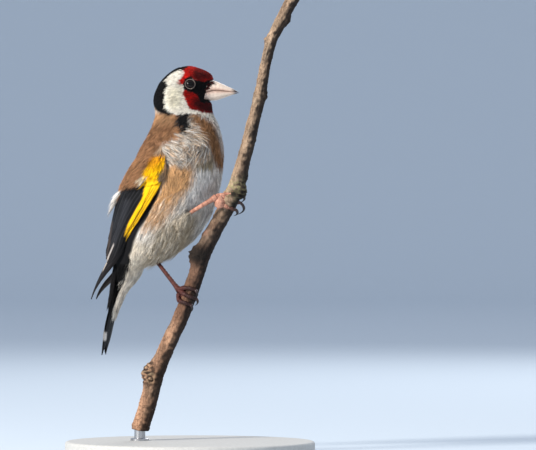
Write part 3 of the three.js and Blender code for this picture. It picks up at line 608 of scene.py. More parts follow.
def store_tint(mesh: bpy.types.Mesh, colours: Array) -> None:
    """Keeps a colour at each point of a mesh.

    Args:
        mesh: The mesh.
        colours: Linear colours, one for each point.
    """
    layer = mesh.color_attributes.new(name="tint", type="FLOAT_COLOR", domain="POINT")
    rgba = np.concatenate([np.clip(colours, 0, 1), np.ones((len(colours), 1))], axis=1)
    layer.data.foreach_set("color", rgba.astype(np.float32).ravel())


def link(name: str, data: bpy.types.ID) -> Thing:
    """A new object with a mesh, light or camera, in the scene.

    Args:
        name: The new name.
        data: The mesh, light or camera.

    Returns:
        The new object.
    """
    thing = bpy.data.objects.new(name, data)
    bpy.context.scene.collection.objects.link(thing)
    return thing


def finished(bm: bmesh.types.BMesh, name: str, smooth: bool = False) -> Thing:
    """The object of a bmesh that is done, which is freed.

    Args:
        bm: The bmesh.
        name: The new name.
        smooth: Whether its faces are shaded smooth.

    Returns:
        The new object.
    """
    if smooth:
        for face in bm.faces:
            face.smooth = True
    mesh = bpy.data.meshes.new(name)
    bm.to_mesh(mesh)
    bm.free()
    return link(name, mesh)


def revolved(profile: Iterable[Pair], steps: int, merge: float) -> bmesh.types.BMesh:
    """A full turn of a profile of radius and height, in metres, about the upright axis.

    Args:
        profile: Its points.
        steps: Faces round the turn.
        merge: Distance at which points become one.

    Returns:
        The new bmesh.
    """
    bm = bmesh.new()
    verts = [bm.verts.new((radius, 0, height)) for radius, height in profile]
    edges = [bm.edges.new(pair) for pair in zip(verts, verts[1:])]
    bmesh.ops.spin(bm, geom=[*verts, *edges], cent=(0, 0, 0), axis=(0, 0, 1), angle=TURN,
                   steps=steps, use_merge=True, use_duplicate=False)
    bmesh.ops.remove_doubles(bm, verts=bm.verts, dist=merge)
    bmesh.ops.recalc_face_normals(bm, faces=bm.faces)
    return bm


def push(bm: bmesh.types.BMesh, amounts: Iterable[float]) -> None:
    """Moves each point along its normal by its own amount, in millimetres.

    Args:
        bm: The bmesh.
        amounts: One amount for each point.
    """
    bm.normal_update()
    shifts = [vert.normal.copy() for vert in bm.verts]
    for vert, shift, amount in zip(bm.verts, shifts, amounts):
        vert.co += shift * float(amount) * MM


def dress(thing: Thing, finish: Material, slot: str, *nodes: str) -> Thing:
    """Gives a piece its finish and body, and hides the solids that it stands for.

    Args:
        thing: The piece.
        finish: Its material.
        slot: Not used.
        nodes: The solids that it replaces.

    Returns:
        The same piece.
    """
    thing.data.materials.clear()
    thing.data.materials.append(finish)
    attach(thing, "root")
    if nodes:
        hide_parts(*nodes)
    LOG.info("%s: %d faces", thing.name, len(thing.data.polygons))
    return thing


def shell(name: str, across: int, along: int, place: Place,
          tint: Place) -> Thing:
    """A closed skin shaped from a grid that is rolled up and capped.

    Args:
        name: The new object's name.
        across: Faces round the shape.
        along: Faces from end to end.
        place: Gives points in millimetres from shares across and along.
        tint: Gives linear colours from the same shares.

    Returns:
        The new object.
    """
    bm = bmesh.new()
    bmesh.ops.create_grid(bm, x_segments=across, y_segments=along, size=1.0)
    shares = np.array([v.co[:2] for v in bm.verts]) * 0.5 + 0.5
    points = place(shares[:, 0], shares[:, 1]) * MM
    colours = tint(shares[:, 0], shares[:, 1])
    layer = bm.verts.layers.float_color.new("tint")
    for vert, point, colour in zip(bm.verts, points, colours):
        vert.co = point
        vert[layer] = (*colour, 1.0)
    bmesh.ops.remove_doubles(bm, verts=bm.verts, dist=2e-6)
    bmesh.ops.holes_fill(bm, edges=[edge for edge in bm.edges if edge.is_boundary], sides=0)
    bmesh.ops.recalc_face_normals(bm, faces=bm.faces)
    for face in bm.faces:
        face.smooth = len(face.verts) < 5
    return finished(bm, name)


@dataclass(frozen=True)
class Ripple:
    """Smooth seeded noise from a bundle of waves."""

    seed: int
    size: float
    waves: int = 14

    def __call__(self, points: Array) -> Array:
        """Values of about -1 to 1 at points.

        Args:
            points: Points in millimetres.

        Returns:
            The values.
        """
        random = np.random.default_rng(self.seed)
        ways = unit(random.normal(size=(self.waves, points.shape[-1])))
        pace = random.uniform(0.6, 1.7, self.waves) * TURN / self.size
        start = random.uniform(0, TURN, self.waves)
        waves = np.sin((points @ ways.T) * pace + start)
        return waves.sum(axis=-1) / math.sqrt(self.waves / 2) / 1.6


# Finishes


class NodeSheet:
    """A material's node tree with short ways to add and link nodes."""

    def __init__(self, name: str) -> None:
        """Starts a material with one shader.

        Args:
            name: The new name.
        """
        self.material = bpy.data.materials.new(name)
        self.material.use_nodes = True
        self.tree = self.material.node_tree
        self.shader = next(n for n in self.tree.nodes if n.type == "BSDF_PRINCIPLED")

    def add(self, kind: str, **settings: object) -> bpy.types.Node:
        """A new node with its settings.

        Args:
            kind: The node's kind.
            settings: Values of its own settings.

        Returns:
            The node.
        """
        node = self.tree.nodes.new(kind)
        for key, value in settings.items():
            setattr(node, key, value)
        return node

    def link(self, out: Socket, into: Socket) -> None:
        """Joins two sockets."""
        self.tree.links.new(out, into)

    def tint(self) -> Socket:
        """The colour kept on the piece's points."""
        return self.add("ShaderNodeVertexColor", layer_name="tint").outputs["Color"]

    def place(self, stretch: Triple = (1, 1, 1), uv: str = "") -> Socket:
        """Object coordinates, or a map's, stretched.

        Args:
            stretch: Scale on each axis.
            uv: The map to read, if any.

        Returns:
            The place's socket.
        """
        mapping = self.add("ShaderNodeMapping")
        mapping.inputs["Scale"].default_value = stretch
        if uv:
            self.link(self.add("ShaderNodeUVMap", uv_map=uv).outputs["UV"], mapping.inputs["Vector"])
        else:
            source = self.add("ShaderNodeTexCoord").outputs["Object"]
            self.link(source, mapping.inputs["Vector"])
        return mapping.outputs["Vector"]

    def noise(self, place: Socket, scale: float, detail: float = 3.0) -> Socket:
        """A noise value at a place.

        Args:
            place: Where it is read.
            scale: The noise's scale.
            detail: Its detail.

        Returns:
            The value's socket.
        """
        node = self.add("ShaderNodeTexNoise")
        node.inputs["Scale"].default_value = scale
        node.inputs["Detail"].default_value = detail
        self.link(place, node.inputs["Vector"])
        return node.outputs["Fac"]

    def spread(self, value: Socket, low: float, high: float) -> Socket:
        """A value mapped so that low gives 0 and high gives 1.

        Args:
            value: The value.
            low: The low end.
            high: The high end.

        Returns:
            The value's socket.
        """
        node = self.add("ShaderNodeMapRange")
        node.inputs["From Min"].default_value = low
        node.inputs["From Max"].default_value = high
        self.link(value, node.inputs["Value"])
        return node.outputs["Result"]

    def mottle(self, scale: float, detail: float, low: float = 0.3,
               stretch: Triple = (1, 1, 1), uv: str = "") -> Socket:
        """A noise from 0 to 1, of which what lies below low or above its counterpart is cut off.

        Args:
            scale: The noise's scale.
            detail: Its detail.
            low: The low end.
            stretch: Scale on each axis.
            uv: The map to read, if any.

        Returns:
            The value's socket.
        """
        return self.spread(self.noise(self.place(stretch, uv), scale, detail), low, 1 - low)

    def between(self, value: Socket, dark: Triple,
                light: Triple) -> Socket:
        """A tone between dark and light.

        Args:
            value: The value.
            dark: The tone at 0.
            light: The tone at 1.

        Returns:
            The colour's socket.
        """
        ramp = self.add("ShaderNodeMix", data_type="RGBA")
        ramp.inputs[6].default_value = (*dark, 1)
        ramp.inputs[7].default_value = (*light, 1)
        self.link(value, ramp.inputs[0])
        return ramp.outputs[2]

    def shade(self, colour: Socket, value: Socket,
              dark: Triple, light: Triple) -> Socket:
        """The colour multiplied by a tone between dark and light.

        Args:
            colour: The colour.
            value: The value.
            dark: The tone at 0.
            light: The tone at 1.

        Returns:
            The colour's socket.
        """
        product = self.add("ShaderNodeMix", data_type="RGBA", blend_type="MULTIPLY")
        product.inputs[0].default_value = 1.0
        self.link(colour, product.inputs[6])
        self.link(self.between(value, dark, light), product.inputs[7])
        return product.outputs[2]

    def bump(self, height: Socket, distance: float, strength: float = 1.0) -> None:
        """Raises the surface by a height, in metres, over what is raised already.

        Args:
            height: The height.
            distance: Its full height in metres.
            strength: How much of it shows.
        """
        node = self.add("ShaderNodeBump")
        node.inputs["Distance"].default_value = distance
        node.inputs["Strength"].default_value = strength
        self.link(height, node.inputs["Height"])
        normal = self.shader.inputs["Normal"]
        if normal.is_linked:
            self.link(normal.links[0].from_socket, node.inputs["Normal"])
        self.link(node.outputs["Normal"], normal)

    def colour(self, socket: Socket) -> None:
        """Sets the shader's colour."""
        self.link(socket, self.shader.inputs["Base Color"])

    def set(self, **values: float) -> None:
        """Sets plain shader values: roughness, metallic, specular, sheen, coat.

        Args:
            values: The values by their short names.
        """
        names = {
            "roughness": "Roughness", "metallic": "Metallic", "specular": "Specular IOR Level",
            "sheen": "Sheen Weight", "sheen_roughness": "Sheen Roughness", "coat": "Coat Weight",
            "coat_roughness": "Coat Roughness",
        }
        for key, value in values.items():
            self.shader.inputs[names[key]].default_value = value


@dataclass(frozen=True)
class PlumageFinish:
    """Soft plumage: the point's colour with mottling, no gloss and a little sheen."""

    name: str = "plumage"
    mottle_size: float = 420.0
    dark: Triple = (0.78, 0.76, 0.74)
    light: Triple = (1.16, 1.15, 1.13)
    roughness: float = 0.86
    sheen: float = 0.05

    def make(self) -> Material:
        """Builds the material."""
        sheet = NodeSheet(self.name)
        mottle = sheet.mottle(self.mottle_size, 4.0)
        sheet.colour(sheet.shade(sheet.tint(), mottle, self.dark, self.light))
        sheet.set(roughness=self.roughness, sheen=self.sheen, sheen_roughness=0.5, specular=0.12)
        return sheet.material


@dataclass(frozen=True)
class VaneFinish:
    """Flight and tail feathers: fine barbs along the web, with a satin sheen."""

    name: str = "vane"
    barb_pitch: float = 0.16
    roughness: float = 0.55

    def make(self) -> Material:
        """Builds the material."""
        sheet = NodeSheet(self.name)
        streak = sheet.mottle(1.6, 3.0, 0.32, (2.2, 0.14, 1.0), "Grain")
        sheet.colour(sheet.shade(sheet.tint(), streak, (0.74, 0.73, 0.72), (1.2, 1.2, 1.22)))
        wave = sheet.add("ShaderNodeTexWave", wave_type="BANDS", bands_direction="Y")
        wave.inputs["Scale"].default_value = 1.0 / (self.barb_pitch * 3.2)
        wave.inputs["Distortion"].default_value = 0.5
        sheet.link(sheet.place((1, 1, 1), "Grain"), wave.inputs["Vector"])
        sheet.bump(wave.outputs["Fac"], 0.00003, 0.35)
        sheet.bump(streak, 0.00006, 0.4)
        sheet.set(roughness=self.roughness, specular=0.13)
        return sheet.material


@dataclass(frozen=True)
class HornFinish:
    """Horn of the bill and claws: a satin surface with faint lengthwise grain."""

    name: str
    roughness: float = 0.34
    grain: Triple = (900.0, 900.0, 900.0)

    def make(self) -> Material:
        """Builds the material."""
        sheet = NodeSheet(self.name)
        grain = sheet.mottle(1.0, 4.0, stretch=self.grain)
        sheet.colour(sheet.shade(sheet.tint(), grain, (0.86, 0.83, 0.8), (1.1, 1.08, 1.06)))
        sheet.bump(grain, 0.00004, 0.5)
        sheet.set(roughness=self.roughness, specular=0.45, coat=0.12, coat_roughness=0.25)
        return sheet.material


@dataclass(frozen=True)
class LegFinish:
    """Scaled skin of legs and toes."""

    name: str = "leg_skin"
    cell: float = 1900.0

    def make(self) -> Material:
        """Builds the material."""
        sheet = NodeSheet(self.name)
        cells = sheet.add("ShaderNodeTexVoronoi", feature="DISTANCE_TO_EDGE")
        cells.inputs["Scale"].default_value = self.cell
        sheet.link(sheet.place(), cells.inputs["Vector"])
        edge = sheet.spread(cells.outputs["Distance"], 0.0, 0.18)
        mottle = sheet.mottle(700.0, 4.0)
        toned = sheet.shade(sheet.tint(), mottle, (0.74, 0.68, 0.66), (1.16, 1.1, 1.08))
        sheet.colour(sheet.shade(toned, edge, (0.62, 0.55, 0.52), (1.05, 1.04, 1.03)))
        sheet.bump(edge, 0.00006, 0.6)
        sheet.set(roughness=0.5, specular=0.22)
        return sheet.material


@dataclass(frozen=True)
class BarkFinish:
    """Thin bark of a twig: mottled, with fine cracks."""

    name: str = "bark"

    def make(self) -> Material:
        """Builds the material."""
        sheet = NodeSheet(self.name)
        blotch = sheet.mottle(260.0, 6.0, 0.34, (1, 1, 0.45))
        fine = sheet.mottle(1500.0, 5.0, stretch=(1, 1, 0.3))
        toned = sheet.shade(sheet.tint(), blotch, (0.58, 0.55, 0.53), (1.22, 1.2, 1.17))
        sheet.colour(sheet.shade(toned, fine, (0.66, 0.63, 0.6), (1.14, 1.14, 1.12)))
        sheet.bump(blotch, 0.00025, 0.5)
        sheet.bump(fine, 0.00016, 0.8)
        sheet.set(roughness=0.88, specular=0.25)
        return sheet.material


@dataclass(frozen=True)
class EyeFinish:
    """A wet dark eye."""

    name: str = "eye"

    def make(self) -> Material:
        """Builds the material."""
        sheet = NodeSheet(self.name)
        fleck = sheet.mottle(1600.0, 3.0)
        sheet.colour(sheet.shade(sheet.tint(), fleck, (0.6, 0.55, 0.5), (1.3, 1.2, 1.1)))
        sheet.set(roughness=0.05, specular=0.15, coat=0.06, coat_roughness=0.02)
        return sheet.material


@dataclass(frozen=True)
class StandFinish:
    """Matt lacquer of the base, or satin steel of the rod."""

    name: str
    colour: Triple
    metallic: float
    roughness: float
    grain: Triple

    def make(self) -> Material:
        """Builds the material."""
        sheet = NodeSheet(self.name)
        grain = sheet.mottle(1.0, 3.0, stretch=self.grain)
        dark, light = (tuple(tone * part for part in self.colour) for tone in (0.93, 1.04))
        sheet.colour(sheet.between(grain, dark, light))
        sheet.bump(grain, 0.00003, 0.5)
        sheet.set(roughness=self.roughness, metallic=self.metallic)
        return sheet.material


# Skin


@dataclass
class Skin:
    """One skin over head, neck, torso, tail root and thighs, inside the solids by the coat's depth."""

    nodes: tuple[str, ...] = ("head", "neck", "torso", "thigh_right", "thigh_left")
    overlap: float = 0.35
    horn_start: float = 5.2
    horn_sink: float = 0.3
    # The skin is painted darker than the coat, as painted shade under the feathers.
    shade: float = 0.72
    voxel: float = 0.55
    smoothing: int = 6
    coat_depth: SmoothCurve = SmoothCurve(
        ((158, 0.3), (142, 0.45), (134, 0.8), (124, 1.15), (84, 1.2), (76, 0.9), (66, 0.6), (57, 0.3)))
    tail_root: Pair = (56.5, 77.5)
    root_sink: SmoothCurve = SmoothCurve(
        ((77.5, 0.0), (73, 0.6), (69, 2.3), (65, 2.9), (61, 3.5), (56.5, 4.1)))

    def copies(self) -> bpy.types.Mesh:
        """The flesh nodes and the tail's root, grown a little and joined in one mesh."""
        joined = bmesh.new()
        for node in self.nodes:
            part = bmesh.new()
            part.from_mesh(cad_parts[node].data)
            bmesh.ops.remove_doubles(part, verts=part.verts, dist=1e-6)
            push(part, [self.overlap] * len(part.verts))
            mesh = bpy.data.meshes.new("copy")
            part.to_mesh(mesh)
            part.free()
            joined.from_mesh(mesh)
            bpy.data.meshes.remove(mesh)
        root = self.root_mesh()
        joined.from_mesh(root)
        bpy.data.meshes.remove(root)
        mesh = bpy.data.meshes.new("flesh")
        joined.to_mesh(mesh)
        joined.free()
        return mesh

    def root_mesh(self) -> bpy.types.Mesh:
        """The stretch of body inside the tail's coverts."""

        def place(around: Array, along: Array) -> Array:
            """Points of the body, drawn in and leaning back towards the tail.

            Args:
                around: Shares round the shape.
                along: Shares along it.

            Returns:
                Points in millimetres.
            """
            z = mix(*self.tail_root, along)
            points = SHAPE.point(z, around * TURN, SHAPE.body, self.overlap - self.root_sink(z))
            points[..., 0] -= 0.23 * np.maximum(0, 65.0 - z)
            return points

        thing = shell("root", 40, 30, place, lambda u, v: np.ones((len(u), 3)))
        mesh = thing.data
        bpy.data.objects.remove(thing)
        return mesh

    def build(self) -> Thing:
        """Remeshes the copies into one skin, sinks it by the coat's depth and colours it."""
        flesh = link("flesh", self.copies())
        remesh = flesh.modifiers.new("Remesh", "REMESH")
        remesh.mode = "VOXEL"
        remesh.voxel_size = self.voxel * MM
        graph = bpy.context.evaluated_depsgraph_get()
        mesh = bpy.data.meshes.new_from_object(flesh.evaluated_get(graph))
        bpy.data.objects.remove(flesh)
        bm = bmesh.new()
        bm.from_mesh(mesh)
        self.relax(bm, self.smoothing)
        push(bm, -self.coat_depth(np.array([v.co.z for v in bm.verts]) / MM) - self.overlap)
        self.relax(bm, 2)
        for vert in bm.verts:
            if vert.co.x > self.horn_start * MM and under_bill(np.array([vert.co[:]]) / MM)[0]:
                x, _, z = np.array(vert.co) / MM
                middle = SHAPE.head_middle_y * MM
                limit = middle - float(horn_place(x, z, 1.0)[1]) * MM - self.horn_sink * MM
                vert.co.y = min(max(vert.co.y, middle - limit), middle + limit)
        for face in bm.faces:
            face.smooth = True
        bm.to_mesh(mesh)
        bm.free()
        mesh.name = "skin"
        points = self.points_of(mesh)
        angle = SHAPE.angle_of(points)
        # Painted shade: the skin between the tufts is darkened to 0.72 of the coat's colour.
        colours = body_colour(points[:, 2], angle) * self.shade
        px, py = SHAPE.seen(points[:, 2], angle)
        hidden = np.clip(2 * WING_BLACK.share(px, py) - 1, 0, 1) * under_wing(points)
        store_tint(mesh, tinge(colours, WING_COLOUR, hidden))
        store_map(mesh, "OFBake", unwrap(points, angle))
        return link("skin", mesh)

    @staticmethod
    def relax(bm: bmesh.types.BMesh, times: int) -> None:
        """Smooths all points a few times.

        Args:
            bm: The bmesh.
            times: How often.
        """
        for _ in range(times):
            bmesh.ops.smooth_vert(bm, verts=bm.verts, factor=0.5, use_axis_x=True, use_axis_y=True,
                                  use_axis_z=True)

    @staticmethod
    def points_of(mesh: bpy.types.Mesh) -> Array:
        """The mesh's points in millimetres.

        Args:
            mesh: The mesh.

        Returns:
            The points.
        """
        points = np.zeros(len(mesh.vertices) * 3, np.float32)
        mesh.vertices.foreach_get("co", points)
        return points.reshape(-1, 3).astype(float) / MM


def unwrap(points: Array, angle: Array) -> Array:
    """The place of skin points on an unwrap by angle round the body and height along it."""
    height = (points[..., 2] - 56.0) / 103.0
    return np.stack([0.02 + 0.96 * (angle / (TURN) + 0.5), 0.02 + 0.96 * height], axis=-1)


# Coat


@dataclass(frozen=True)
class TuftKind:
    """One kind of small feather: its size in millimetres, its barbs and how it stands."""

    name: str
    spacing: float
    length: float
    width: float
    barbs: int
    spans: int
    barb_width: float
    lift: float
    ragged: float = 0.2
    roll: float = 0.5
    variation: float = 0.16


FACE = TuftKind("face", 0.34, 1.25, 0.52, 4, 2, 0.11, 0.3, 0.25, 0.5, 0.17)
CROWN = TuftKind("crown", 0.4, 1.9, 0.66, 5, 2, 0.12, 0.42, 0.25, 0.45, 0.15)
SHAWL = TuftKind("shawl", 0.52, 3.9, 1.0, 5, 3, 0.14, 0.85, 0.3, 0.45, 0.19)
DOWN = TuftKind("down", 0.6, 5.6, 1.3, 5, 3, 0.13, 0.95, 0.4, 0.6, 0.15)
COVERT = TuftKind("covert", 0.95, 7.5, 2.0, 8, 3, 0.14, 0.75, 0.3, 0.4, 0.18)
SHOULDER = TuftKind("shoulder", 0.5, 3.1, 0.95, 5, 3, 0.14, 0.5, 0.3, 0.5, 0.24)
BRISTLE = TuftKind("bristle", 0.36, 1.25, 0.5, 4, 2, 0.085, 0.12, 0.3, 0.5, 0.25)
STRAND = TuftKind("ruff", 0.55, 5.2, 0.7, 4, 3, 0.11, 1.5, 0.35, 0.6, 0.36)
LOOSE = TuftKind("loose", 1.0, 6.4, 1.2, 4, 3, 0.12, 2.0, 0.35, 0.6, 0.2)
PLUME = TuftKind("plume", 0.6, 6.2, 1.8, 6, 3, 0.11, 1.0, 0.4, 0.7, 0.16)
SCAPULARS = TuftKind("scapulars", 0.62, 5.0, 1.5, 6, 3, 0.15, 2.5, 0.3, 0.4, 0.18)
THIGH_TUFT = TuftKind("thigh", 0.7, 4.8, 1.3, 5, 3, 0.13, 2.3, 0.4, 0.6, 0.2)


@dataclass
class Fans:
    """Builds small feathers as fans of thin pointed barbs along short spines."""

    seed: int
    cell: float = 0.0026

    def barbs(self, kind: TuftKind, spine: Array, normal: Array, tint: Array, place: Array,
              curve: float, scale: Array) -> tuple[Array, list[Array], Array, Array]:
        """Lays the barbs of many tufts.

        Args:
            kind: The kind of small feather.
            spine: Three points of each tuft's middle line.
            normal: The surface's normal at each of them.
            tint: Each tuft's root and tip colour.
            place: Each tuft's bake place.
            curve: Radius of the surface across the tuft.
            scale: Each tuft's size against its kind's.

        Returns:
            Points, faces, colours and bake places.
        """
        random = np.random.default_rng(self.seed)
        count = len(spine)
        levels = np.linspace(0, 1, kind.spans + 1)
        fan = random.uniform(-0.5, 0.5, (count, kind.barbs)) / kind.barbs
        fan = np.linspace(-1, 1, kind.barbs)[None] + fan
        reach = (1 - 0.38 * fan**2) * (1 + kind.ragged * random.uniform(-1, 0.6, fan.shape))
        stand = 1 + 0.5 * random.uniform(-1, 0.6, fan.shape)
        roll = kind.roll * random.normal(size=fan.shape)
        bend = 0.12 * random.normal(size=fan.shape)
        t = reach[..., None] * levels
        weight = np.stack([2 * t**2 - 3 * t + 1, -4 * t**2 + 4 * t, 2 * t**2 - t], axis=-1)
        slope = np.stack([4 * t - 3, -8 * t + 4, 4 * t - 1], axis=-1)
        middle = np.einsum("nbtk,nkc->nbtc", weight, spine)
        along = unit(np.einsum("nbtk,nkc->nbtc", slope, spine))
        up = unit(np.einsum("nbtk,nkc->nbtc", weight, normal))
        side = unit(np.cross(up, along))
        spread = (kind.width / 2) * scale[:, None, None] * (fan[..., None] + bend[..., None] * t)
        offset = spread * (0.22 + 0.78 * t**0.85)
        rise = kind.lift * scale[:, None, None] ** 0.5 * stand[..., None] * t**0.75 - offset**2 / (2 * curve)
        middle = middle + side * offset[..., None] + up * (rise - 0.12 * (1 - t))[..., None]
        tilt = np.cos(roll)[..., None, None] * side + np.sin(roll)[..., None, None] * up
        half = kind.barb_width / 2 * scale[:, None, None] ** 0.5 * np.sin(0.6 + 1.9 * levels[:-1])
        edge = tilt[:, :, :-1] * half[..., None]
        pairs = np.stack([middle[:, :, :-1] - edge, middle[:, :, :-1] + edge], axis=3)
        pairs = pairs.reshape(count, kind.barbs, 2 * kind.spans, 3)
        points = np.concatenate([pairs, middle[:, :, -1:]], axis=2)
        tone = 1 + kind.variation * random.normal(size=(count, kind.barbs, 1, 1)) * 0.6
        tone = tone * (1 + kind.variation * random.normal(size=(count, 1, 1, 1)))
        shares = np.concatenate([np.repeat(levels[:-1], 2), [1.0]])[None, None, :, None]
        colours = mix(tint[:, None, None, 0], tint[:, None, None, 1], shares) * np.clip(tone, 0.45, 1.7)
        spot = np.stack(np.broadcast_arrays(
            fan[..., None] * self.cell / 2, shares[..., 0] * self.cell - self.cell / 2), axis=-1)
        places = place[:, None, None, :] + spot
        return points, self.faces(count * kind.barbs, kind.spans), colours, places

    def piece(self, name: str, *tufts: object) -> Thing:
        """One piece of the tufts that barbs() lays from the same arguments.

        Args:
            name: The new name.
            tufts: What barbs() needs.

        Returns:
            The new object.
        """
        made = Feathering()
        made.add(*self.barbs(*tufts))
        return made.build(name)

    @staticmethod
    def faces(barbs: int, spans: int) -> list[Array]:
        """The faces of many barbs of so many spans.

        Args:
            barbs: How many barbs.
            spans: Spans in each.

        Returns:
            Blocks of point numbers.
        """
        first = (2 * spans + 1) * np.arange(barbs)[:, None]
        quads = [first + np.array([2 * k, 2 * k + 1, 2 * k + 3, 2 * k + 2]) for k in range(spans - 1)]
        tips = first + np.array([2 * spans - 2, 2 * spans - 1, 2 * spans])
        return [*quads, tips]


@dataclass
class Coat:
    """The small feathers of head and body, rooted on the skin and lying down along it."""

    skin: Thing
    piece_limit: int = 185000
    eye_clear: float = 2.3
    size_spread: float = 0.18
    way_spread: float = 0.14
    # Each tuft's colour at its root and its tip: the darker root is partly grey down and partly painted shade
    # within the coat.
    root_shade_and_down_tones: Pair = (0.6, 1.08)
    swirls: tuple[tuple[Patch, float, float], ...] = (
        (Patch(((172, 127), (190, 122), (202, 127), (204, 138), (188, 144), (170, 142)), (0, 0, 0), 2.5),
         4.4, -0.3),
        (Patch(((150, 139), (172, 140), (184, 148), (180, 162), (156, 161)), (0, 0, 0), 3.0), 3.2, 1.0),
        (Patch(((188, 144), (208, 140), (212, 156), (200, 165), (182, 163)), (0, 0, 0), 3.0), -0.8, 0.3),
        (Patch(((150, 168), (196, 165), (190, 200), (160, 235), (130, 250), (140, 200)), (0, 0, 0), 8.0),
         -0.25, 0.0),
        (Patch(((158, 156), (174, 156), (176, 186), (160, 190)), (0, 0, 0), 4.0), 0.75, 0.0),
    )

    def __post_init__(self) -> None:
        """Reads the skin's triangles once."""
        mesh = self.skin.data
        mesh.calc_loop_triangles()
        self.points = Skin.points_of(mesh)
        corners = np.zeros(len(mesh.loop_triangles) * 3, np.int32)
        mesh.loop_triangles.foreach_get("vertices", corners)
        self.corners = corners.reshape(-1, 3)
        self.tree = BVHTree.FromPolygons([Vector(p) for p in self.points], self.corners.tolist())

    def roots(self, keep: Place, spacing: float, seed: int) -> Array:
        """Evenly scattered points of the skin where keep is true.

        Args:
            keep: Where feathers grow, from points and their angles.
            spacing: Their distance.
            seed: Seed of their scatter.

        Returns:
            Points in millimetres.
        """
        random = np.random.default_rng(seed)
        a, b, c = (self.points[self.corners[:, k]] for k in range(3))
        middle = (a + b + c) / 3
        wanted = keep(middle, SHAPE.angle_of(middle))
        a, b, c, middle = a[wanted], b[wanted], c[wanted], middle[wanted]
        area = np.linalg.norm(np.cross(b - a, c - a), axis=1) / 2
        order = np.argsort(self.curve_order(middle))
        a, b, c, area = a[order], b[order], c[order], area[order]
        total = np.cumsum(area)
        count = int(total[-1] / spacing**2)
        marks = (np.arange(count) + random.uniform(0.1, 0.9, count)) * spacing**2
        at = np.clip(np.searchsorted(total, marks), 0, len(area) - 1)
        u = np.sqrt(random.random(count))[:, None]
        v = random.random(count)[:, None]
        return (1 - u) * a[at] + u * (1 - v) * b[at] + u * v * c[at]

    @staticmethod
    def curve_order(points: Array) -> Array:
        """Keys that sort points along a path that fills space, so that neighbours stay together.

        Args:
            points: Points in millimetres.

        Returns:
            One key for each point.
        """
        cells = np.clip(((points - points.min(0)) / 0.8).astype(np.int64), 0, 1023)
        key = np.zeros(len(points), np.int64)
        for bit in range(10):
            for axis in range(3):
                key |= ((cells[:, axis] >> bit) & 1) << (3 * bit + axis)
        return key

    def lie(self, points: Array, angle: Array) -> Array:
        """The direction in which the coat lies, before it is laid on the surface.

        Args:
            points: Points in millimetres.
            angle: Angles round the shape.

        Returns:
            Ways, of any length.
        """
        z = points[:, 2]
        head = np.stack([-np.ones_like(z), np.zeros_like(z), -0.2 * np.ones_like(z)], axis=1)
        body = np.stack([-0.34 * np.ones_like(z), 0.16 * np.ones_like(z), -0.93 * np.ones_like(z)], axis=1)
        way = mix(head, body, (1 - smooth_step(133, 145, z))[:, None])
        px, py = SHAPE.seen(z, angle)
        yaw = SHAPE.section(z, SHAPE.body)[4]
        front = np.stack([np.cos(yaw), -np.sin(yaw), np.zeros_like(z)], axis=1)
        for zone, forward, down in self.swirls:
            share = zone.share(px, py)[:, None]
            way = way + share * (forward * front + [0.0, 0.0, -down])
        for side in (1, -1):
            centre = eye_place(side)[0]
            away = points - centre
            near = np.exp(-((np.linalg.norm(away, axis=1) / 3.4) ** 2))[:, None]
            way = way + 1.1 * near * unit(away) * [1, 0, 1]
        return way

    def spines(self, roots: Array, length: Array, seed: int) -> tuple[Array, Array, Array]:
        """Middle lines laid on the skin from roots, with their normals and the roots' angles.

        Args:
            roots: Points of the skin.
            length: The lengths.
            seed: Seed of their stray.

        Returns:
            Lines, normals and angles.
        """
        random = np.random.default_rng(seed)
        angle = SHAPE.angle_of(roots)
        way = unit(self.lie(roots, angle)) + self.way_spread * random.normal(size=roots.shape)
        spine = np.zeros((len(roots), 3, 3))
        normal = np.zeros((len(roots), 3, 3))
        for k, (root, direction, reach) in enumerate(zip(roots, way, length)):
            place, up, _, _ = self.tree.find_nearest(Vector(root))
            heading = Vector(direction)
            heading = (heading - up * heading.dot(up)).normalized()
            spine[k, 0] = place
            normal[k, 0] = up
            for step in (1, 2):
                place, up, _, _ = self.tree.find_nearest(place + heading * float(reach) * 0.5)
                heading = (heading - up * heading.dot(up)).normalized()
                spine[k, step] = place
                normal[k, step] = up
        return spine, normal, angle

    def tufts(self, kind: TuftKind, keep: Place, seed: int, finish: Material, slot: str,
              curve: float, whiten: float = 0.0) -> None:
        """Grows one kind of small feather over a part of the skin, in pieces of limited size.

        Args:
            kind: The kind, whose name the pieces take.
            keep: Where it grows, from points and their angles.
            seed: Seed of its scatter.
            finish: Its material.
            slot: Its material slot.
            curve: Radius of the surface across a tuft.
            whiten: Share of white in the palest tufts.
        """
        random = np.random.default_rng(seed)
        roots = self.roots(keep, kind.spacing, seed)
        scale = 1 + self.size_spread * random.uniform(-1, 1, len(roots))
        spine, normal, angle = self.spines(roots, kind.length * scale, seed + 1)
        clear = ~under_wing(spine[:, 1]) & ~under_wing(spine[:, 2])
        black = []
        for at in spine.transpose(1, 0, 2):
            clear &= ~under_bill(at)
            for side in (1, -1):
                clear &= np.linalg.norm(at - eye_place(side)[0], axis=1) > self.eye_clear
            black.append(BODY_PATCHES["tail_side"].share(*SHAPE.seen(at[:, 2], SHAPE.angle_of(at))) > 0.15)
        clear &= black[0] | ~(black[1] | black[2])
        spine, normal, angle, scale = spine[clear], normal[clear], angle[clear], scale[clear]
        sample = mix(spine[:, 0], spine[:, 1], 0.7)
        stray = mix(0.55, 0.2, smooth_step(130, 138, sample[:, 2]))[:, None]
        sample = sample + stray * random.normal(size=sample.shape)
        sample_angle = SHAPE.angle_of(sample)
        colour = body_colour(sample[:, 2], sample_angle)
        colour = self.mottled(colour, sample, sample_angle, random)
        if whiten:
            colour = mix(colour, linear(216, 208, 196), whiten * random.random((len(colour), 1)) ** 0.6)
